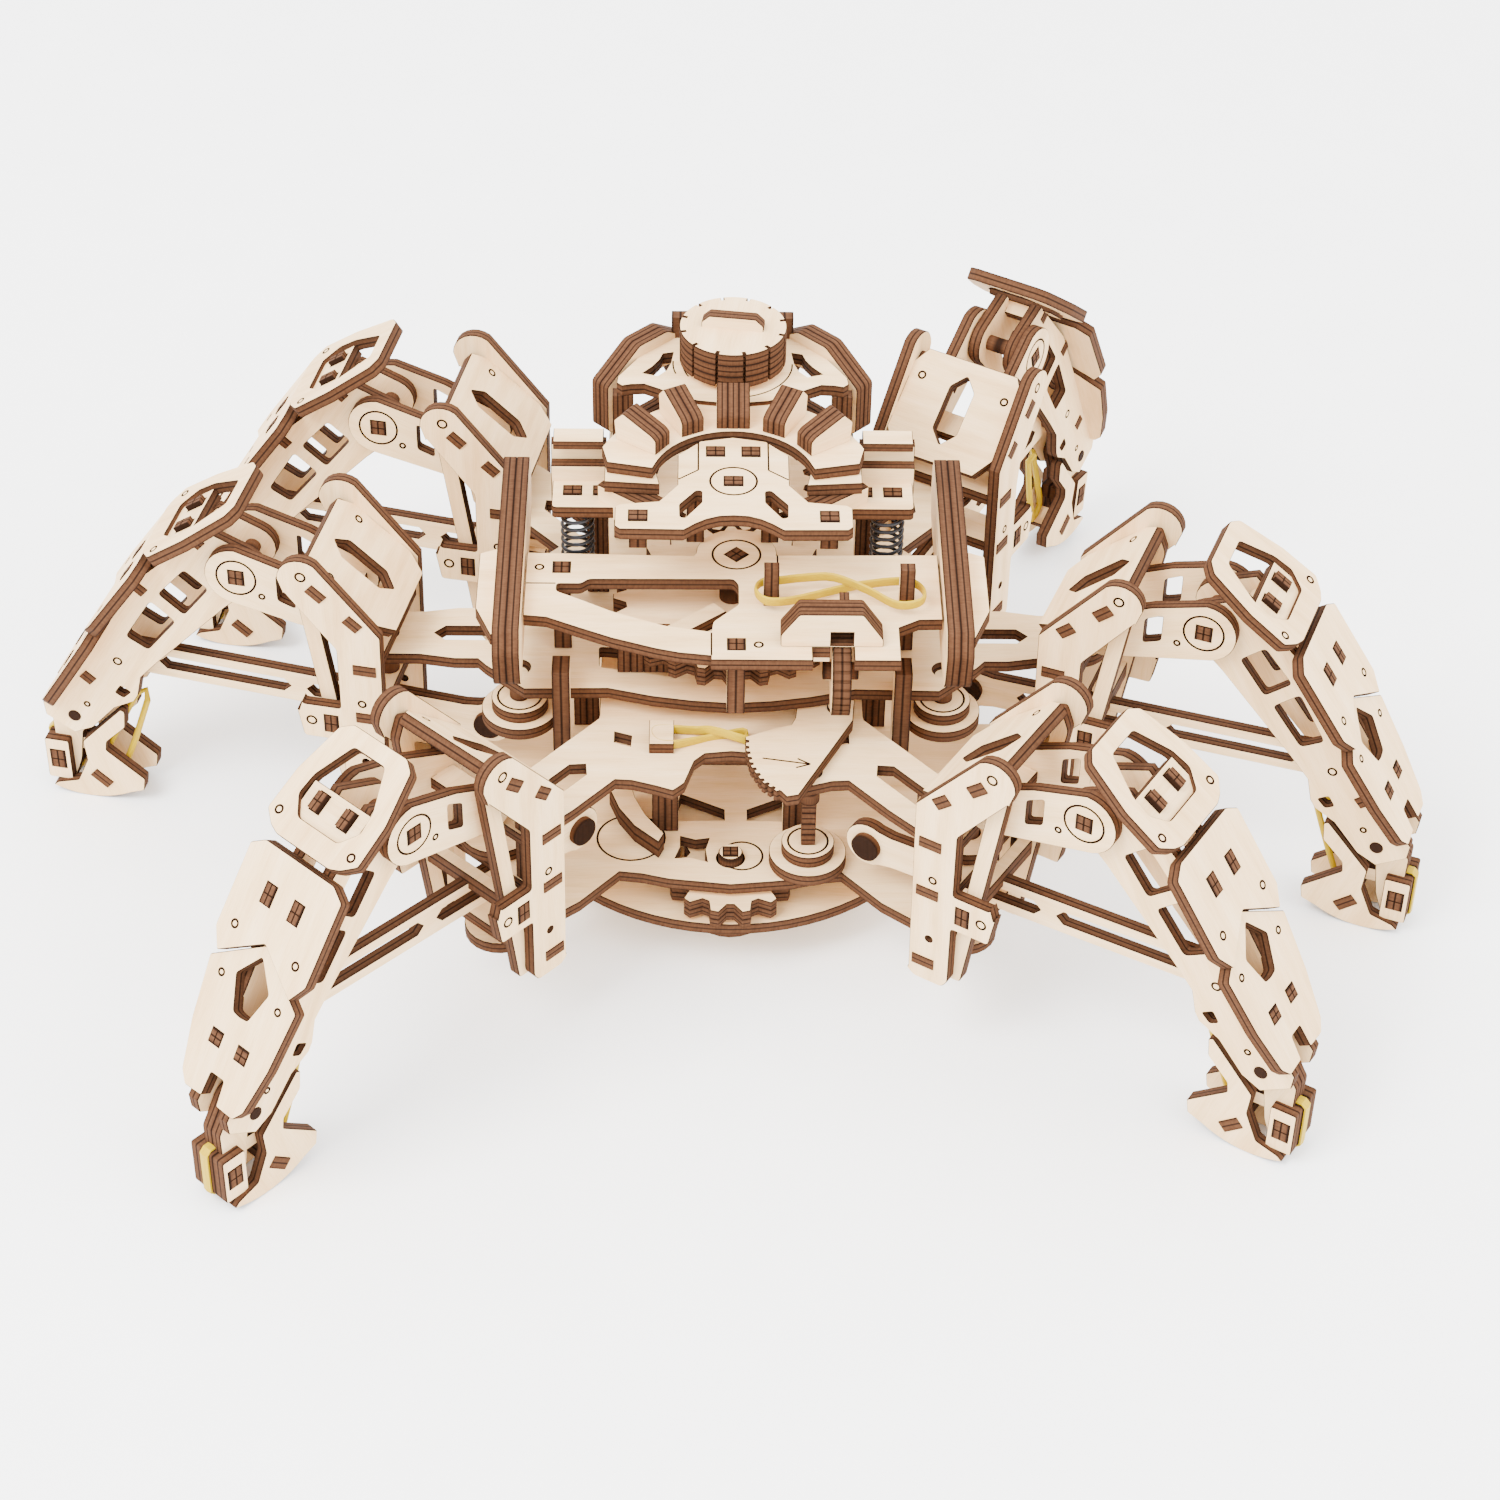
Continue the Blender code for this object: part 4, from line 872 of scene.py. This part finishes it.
def rear_dome(kit):
    front = [(4, 30.1), (8, 30.7), (13, 32.6), (17, 35.4), (20.5, 37.4), (23.5, 37.2), (25.6, 36.6),
            (26.8, 37.8)]
    canopy = mirrored([(0, 29.9)] + front + [(26.6, 40.4), (20, 52), (13.5, 60.5), (9, 64), (0, 66)])
    window = [(13.9, 50.6), (14.4, 46.4), (15.4, 43.2), (17.4, 40.8), (20.8, 41.9), (18.6, 44.6), (17,
            47.4), (16.2, 50)]
    holes = [circle(0, WINDING_Y, 3.8), window, [(-x, y) for x, y in window]]
    top = DOME_Z + PLY
    kit.plate(canopy, holes, DOME_Z, top)
    kit.line_mark(arc(0, WINDING_Y, 13.9, -78, 0, 12), top, width=0.35)
    kit.line_mark(arc(0, WINDING_Y, 13.9, 176, 198, 4), top, width=0.35)
    kit.line_mark(arc(0, WINDING_Y, 11.6, 186, 208, 4), top, width=0.35)
    octagon = [(-4.5, 79), (4.5, 79), (15, 86), (15, 98.2), (4.5, 105), (-4.5, 105), (-15, 98.2), (-15,
            86)]
    window = [(-5, 83.5), (5, 83.5), (9.5, 88), (6, 95.5), (-6, 95.5), (-9.5, 88)]
    for side in (-1, 1):
        toed_in = shift(side * 20.3, 53.7, 0) @ turn(side * 45)
        kit.stacked(rounded(octagon, 0.8), [rounded(window, 0.8)], -2.7, 2.7, toed_in @ FACING_OUT)
        kit.post(side * 25.4, 38.4, UPPER_Z + PLY + 0.3, DOME_Z, 2.4, 1.6)
        low, high = sorted((side * 22, side * 29))
        kit.plate(rectangle(low, 44, high, 58), (), 76.5, 79.5)
        kit.stacked(rectangle(side * 26 - 2.5, 40, side * 26 + 2.5, 50), (), 79.6, 84)
        # the upright stop behind the knob
        kit.post(side * 12.2, 58.2, top, top + 5.6, 2.1, 1.5)


def knob_outline(r, notches, depth, gap=2.5):
    points = []
    step = 360 / notches
    for i in range(notches):
        a = step * i
        points += arc(0, 0, r, a + gap, a + step - gap, 4)
        points += arc(0, 0, r - depth, a + step - gap, a + step + gap, 1)
    return points


def winding_knob(kit):
    middle = shift(0, WINDING_Y, 0)
    for i in range(3):
        low = KNOB_Z + 3 * i
        kit.plate(knob_outline(12.4, 12, 1.2, 1.6), (), low, low + PLY, middle @ turn(12), grain=35 * i)
    top = KNOB_Z + 3 * PLY
    key = rounded([(-7.2, top - 0.2), (7.2, top - 0.2), (7.2, top + 1.4), (5.4, top + 3.1), (-5.4,
            top + 3.1), (-7.2, top + 1.4)], 0.3)
    kit.plate(key, (), -1.6, 1.6, middle @ turn(-8) @ upright())


def gear(kit, teeth, phase, low, middle, high=None):
    pitch = TOOTH_PITCH_R * teeth
    points = []
    for i in range(teeth):
        at = 360 / teeth * i + phase
        profile = ((pitch - 1.9, -0.36), (pitch + 0.9, -0.13), (pitch + 0.9, 0.13), (pitch - 1.9, 0.36))
        for r, share in profile:
            a = math.radians(at + 360 / teeth * share)
            points.append((r * math.cos(a), r * math.sin(a)))
    kit.stacked(points, (), low, high or low + 5, middle)


def centre_shaft(kit):
    for z in (GEAR_Z, TOP_GEAR_Z):
        gear(kit, 24, 0, z, Matrix())
    kit.pin(0, 0, 2.9, DISC_Z - 0.5, DECK_Z - 0.1)


def front_pinion(kit):
    middle = shift(0, PINION_Y, 0)
    gear(kit, 12, 105, GEAR_Z, middle)
    kit.pin(0, 0, 2.8, GEAR_Z - 0.5, LOWER_Z + PLY + 2, middle)
    kit.tenon(0, 0, 3, 3, LOWER_Z + PLY + 2, middle)


def winding_shaft(kit):
    middle = shift(0, WINDING_Y, 0)
    gear(kit, 18, 280, TOP_GEAR_Z, middle)
    kit.pin(0, 0, 3.2, UPPER_Z + 0.5, KNOB_Z - 1.5, middle)
    kit.pin(0, 0, 1.8, KNOB_Z - 2, KNOB_Z + 5, middle)


def crank(kit, x, y, low, high, upper):
    middle = shift(x, y, 0)
    kit.plate(circle(0, 0, 8.8, 40), (), low, low + PLY, middle)
    kit.plate(circle(0, 0, upper, 32), (), low + PLY, low + 2 * PLY, middle, grain=60)
    kit.stacked(rectangle(-1.6, -1.6, 1.6, 1.6), (), low + 2 * PLY, high, middle)
    kit.pin(0, 0, 2.3, high - 4, high + 3, middle)
    if low < LOWER_Z + 5:
        kit.pin(0, 0, 2.3, LOWER_Z + 0.5, low, middle)
    kit.ring_mark(0, 0, upper - 1.2, low + 2 * PLY, middle)


def walk_lever(kit):
    """The toothed pointer: a plain arrow is engraved where a word could stand."""
    middle = shift(0, 0, FRONT_Z + PLY + 0.3)
    rim = [(3.0, -32.4), (3.0, -36.6), (4.0, -42.3), (6.5, -47.9), (10.4, -51.8)]
    teeth = []
    for (x0, y0), (x1, y1) in zip(rim, rim[1:]):
        count = max(2, round(math.hypot(x1 - x0, y1 - y0) / 1.9))
        nx, ny = (y1 - y0) / math.hypot(x1 - x0, y1 - y0), -(x1 - x0) / math.hypot(x1 - x0, y1 - y0)
        for k in range(count):
            for share, out in ((0.0, 0.0), (0.5, 0.0), (0.62, 0.75), (0.88, 0.75)):
                t = (k + share) / count
                teeth.append((x0 + (x1 - x0) * t - nx * out, y0 + (y1 - y0) * t - ny * out))
    body = [(12, -52.9), (14.6, -52.2), (27.4, -26.4), (28, -19), (21, -17.6), (15, -19.6), (14.4,
            -25.6), (13.4, -28), (9.8, -29.2)]
    kit.plate(teeth + body, [], 0, PLY, middle)
    kit.pin(LEVER_PIVOT[0], LEVER_PIVOT[1], 2.4, -PLY - 0.6, PLY + 0.6, middle)
    kit.line_mark([(6.8, -39.8), (17.4, -41.8)], PLY, middle, 0.42)
    kit.line_mark([(14.6, -39.9), (17.4, -41.8), (14.2, -43.0)], PLY, middle, 0.42)


def mode_wheel(kit):
    middle = shift(*WHEEL_AXLE) @ FACING_OUT
    kit.stacked(knob_outline(10.0, 30, 0.5, 2.2), [circle(0, 0, 2.4, 20)], -2.1, 2.1, middle)


def deck_band(kit):
    """A flat loop twisted once round the deck's two posts."""
    z = DECK_Z + PLY + 3.2
    path = [(5.4, -17.6, z), (5.2, -15, z), (6.8, -13, z), (10.5, -12.4, z), (16, -12.0, z + 0.5),
            (22.5, -13, z + 1.4)]
    path += [(30, -17.2, z + 1.0), (35.4, -20.6, z), (39, -21.2, z), (42, -19.6, z), (42.6, -16.4, z),
            (40.8, -13.4, z)]
    path += [(37, -12.4, z), (29, -12.8, z - 0.8), (22.5, -14.2, z - 1.4), (15, -18, z - 0.8), (10.8,
            -20.2, z), (7.4, -20, z)]
    kit.tube(smooth_loop(path), 0.42, True, 8, RUBBER, 2.9)


def smooth_loop(points, steps=4):
    """A closed smooth curve through the points."""
    out = []
    count = len(points)
    for i in range(count):
        a, b, c, d = (Vector(points[(i + k) % count]) for k in (-1, 0, 1, 2))
        for k in range(steps):
            t = k / steps
            square, cube = 2 * a - 5 * b + 4 * c - d, 3 * b - a - 3 * c + d
            out.append(0.5 * (2 * b + (c - a) * t + square * t * t + cube * t**3))
    return out


def lever_band(kit):
    """A flat loop twisted once between the front plate's hook and the lever."""
    z = FRONT_Z + PLY + 1.6
    path = [(-17.6, -31.4, z), (-17.9, -29, z), (-16, -27.8, z), (-8, -28.2, z), (-4, -29.6, z + 1.1),
            (2.6, -31.2, z)]
    path += [(3.3, -30.2, z - 0.6), (2.6, -28.6, z), (-4, -29.4, z - 1.1), (-9, -31.4, z - 0.6), (-13,
            -33.2, z), (-16, -33, z)]
    kit.tube(smooth_loop(path), 0.4, True, 8, RUBBER, 3.2)


# ---------------------------------------------------------------- assembly
def leg_frames(leg):
    """Where the leg's frames are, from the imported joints: hip, thigh, shin, foot and rod."""
    pivot = Vector(JOINTS[f"thigh_lift_{leg}"]["pos_m"])
    knee = Vector(JOINTS[f"shin_fold_{leg}"]["pos_m"])
    ankle = Vector(JOINTS[f"ankle_flex_{leg}"]["pos_m"])
    across = -Vector(JOINTS[f"thigh_lift_{leg}"]["axis"])
    out = across.cross(Vector((0, 0, 1)))
    pin = Vector(JOINTS[f"hip_swing_{leg}"]["pos_m"])
    hip = Matrix.Translation(pin) @ Matrix((out, across, (0, 0, 1))).transposed().to_4x4()
    back = hip.inverted()
    a, b, c = back @ pivot, back @ knee, back @ ankle
    lift = math.degrees(math.atan2((b - a).z, (b - a).x))
    lift -= math.degrees(math.atan2(KNEE[1] - THIGH_PIVOT[1], KNEE[0] - THIGH_PIVOT[0]))
    pitch = math.degrees(math.atan2((c - b).z, (c - b).x) - math.atan2(-ANKLE, 0.7))
    inward = back.to_3x3() @ Vector(JOINTS[f"rod_slide_{leg}"]["axis"])
    rod_tilt = math.degrees(math.atan2(-inward.z, -inward.x))
    return {
        "hip": hip,
        "thigh": hip @ Matrix.Translation(a) @ tilt(lift),
        "shin": hip @ Matrix.Translation(b) @ tilt(pitch),
        "foot": hip @ Matrix.Translation(c) @ tilt(pitch),
        "rod": hip @ rod_place(leg, rod_tilt),
    }


def rod_place(leg, rod_tilt):
    """The rod's eye stands further in on the raised leg."""
    return shift(-30.2 if leg == "RR" else -24.0, 0, 36.5) @ tilt(rod_tilt)


def build_legs():
    meshes = {"hip_bracket": hip_bracket(), "thigh": thigh(), "shin": shin(), "foot": foot(),
            "push_rod": push_rod()}
    band = foot_band()
    for leg in LEGS:
        places = leg_frames(leg)
        for piece, frame_name, body in (
            ("hip_bracket", "hip", "hip"),
            ("thigh", "thigh", "thigh"),
            ("shin", "shin", "shin"),
            ("foot", "foot", "foot"),
            ("push_rod", "rod", "rod"),
        ):
            name = f"{piece}_{leg}"
            show(f"ply_{name}", meshes[piece], f"{body}_{leg}", places[frame_name], [name])
        loop = band.copy()
        loop.transform(places["foot"])
        obj = show(f"loop_foot_band_{leg}", loop, None, Matrix(), [f"foot_band_{leg}"])
        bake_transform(obj)


def datum():
    low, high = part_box("bottom_disc")
    return Matrix.Translation(((low.x + high.x) / 2, (low.y + high.y) / 2, low.z - BOSS_Z * MM))


def build_body():
    place = datum()
    for node_name, body, draw, slot in (
        ("lower_hip_plate", "chassis", lower_hip_plate, "plywood"),
        ("bottom_disc", "chassis", bottom_disc, "plywood"),
        ("front_hip_plate", "chassis", front_hip_plate, "plywood"),
        ("upper_hip_plate", "chassis", upper_hip_plate, "plywood"),
        ("front_deck", "chassis", front_deck, "plywood"),
        ("side_cheek_L", "chassis", lambda kit: side_cheek(kit, -1), "plywood"),
        ("side_cheek_R", "chassis", lambda kit: side_cheek(kit, 1), "plywood"),
        ("bridge", "chassis", bridge, "plywood"),
        ("fin_ring", "chassis", fin_ring, "plywood"),
        ("coil_spring_L", "chassis", lambda kit: coil_spring(kit, -1), "spring_steel"),
        ("coil_spring_R", "chassis", lambda kit: coil_spring(kit, 1), "spring_steel"),
        ("rear_dome", "chassis", rear_dome, "plywood"),
        ("winding_knob", "winding", winding_knob, "plywood"),
        ("winding_shaft", "winding", winding_shaft, "turned_wood"),
        ("centre_shaft", "centre_shaft", centre_shaft, "turned_wood"),
        ("front_pinion", "front_pinion", front_pinion, "turned_wood"),
        ("crank_front", "crank_front", lambda kit: crank(kit, *CRANK_FRONT, 24.4, 46.5, 6.0),
                "turned_wood"),
        ("crank_L", "crank_L", lambda kit: crank(kit, -CRANK_SIDE[0], CRANK_SIDE[1], 43.6, 53.5, 6.5),
                "turned_wood"),
        ("crank_R", "crank_R", lambda kit: crank(kit, *CRANK_SIDE, 43.6, 53.5, 6.5), "turned_wood"),
        ("walk_lever", "walk_lever", walk_lever, "plywood"),
        ("mode_wheel", "mode_wheel", mode_wheel, "plywood"),
        ("deck_band", "chassis", deck_band, "rubber_band"),
        ("lever_band", "chassis", lever_band, "rubber_band"),
    ):
        kit = Kit(node_name)
        draw(kit)
        show(f"look_{node_name}", kit.mesh(), body, place, [node_name])


# ---------------------------------------------------------------- stage
def pale_floor():
    mat, tree, shader = new_material("pale_floor", 0.9)
    grain = noise(tree, tree.nodes.new("ShaderNodeTexCoord").outputs["Object"], 40.0, 2, 0.5)
    colour = ramp(tree, grain, [(0.3, (0.93, 0.93, 0.93)), (0.7, (0.95, 0.95, 0.95))])
    tree.links.new(colour, shader.inputs["Base Color"])
    mesh = bpy.data.meshes.new("floor")
    reach = 6.0
    mesh.from_pydata([(-reach, -reach, 0), (reach, -reach, 0), (reach, reach, 0), (-reach, reach, 0)],
            [], [(0, 1, 2, 3)])
    mesh.materials.append(mat)
    floor = bpy.data.objects.new("floor", mesh)
    bpy.context.scene.collection.objects.link(floor)


def lamp(name, at, size, power, target=(0, 0, 0.05)):
    data = bpy.data.lights.new(name, "AREA")
    data.size = size
    data.energy = power
    obj = bpy.data.objects.new(name, data)
    obj.location = at
    way = Vector(target) - Vector(at)
    obj.rotation_euler = way.to_track_quat("-Z", "Y").to_euler()
    bpy.context.scene.collection.objects.link(obj)


def stage():
    pale_floor()
    world = bpy.data.worlds.new("soft_white")
    world.use_nodes = True
    back = world.node_tree.nodes["Background"]
    back.inputs["Color"].default_value = (1, 1, 1, 1)
    back.inputs["Strength"].default_value = 4.2
    bpy.context.scene.world = world
    lamp("key", (-0.9, -0.7, 1.5), 0.9, 75)
    lamp("fill", (1.2, -0.6, 1.0), 1.2, 25)


def camera():
    elevation, roll, yaw = math.radians(40.01), math.radians(1.17), math.radians(1.28)
    forward = Vector((0, math.cos(elevation), -math.sin(elevation)))
    right = Vector((1, 0, 0))
    up = right.cross(forward)
    right, up = right * math.cos(roll) + up * math.sin(roll), up * math.cos(roll) - right * math.sin(roll)
    spin = Matrix.Rotation(-yaw, 3, "Z")
    axes = Matrix((spin @ right, spin @ up, -(spin @ forward))).transposed()
    place = datum() @ Matrix.Translation(spin @ Vector((0.00485, -0.6321, 0.5539)))
    data = bpy.data.cameras.new("photo_angle")
    data.lens = 83.47
    data.sensor_width = 36.0
    data.clip_start = 0.01
    obj = bpy.data.objects.new("photo_angle", data)
    obj.matrix_world = place @ axes.to_4x4()
    bpy.context.scene.collection.objects.link(obj)
    bpy.context.scene.camera = obj


camera()
stage()
build_legs()
build_body()
bpy.context.view_layer.update()
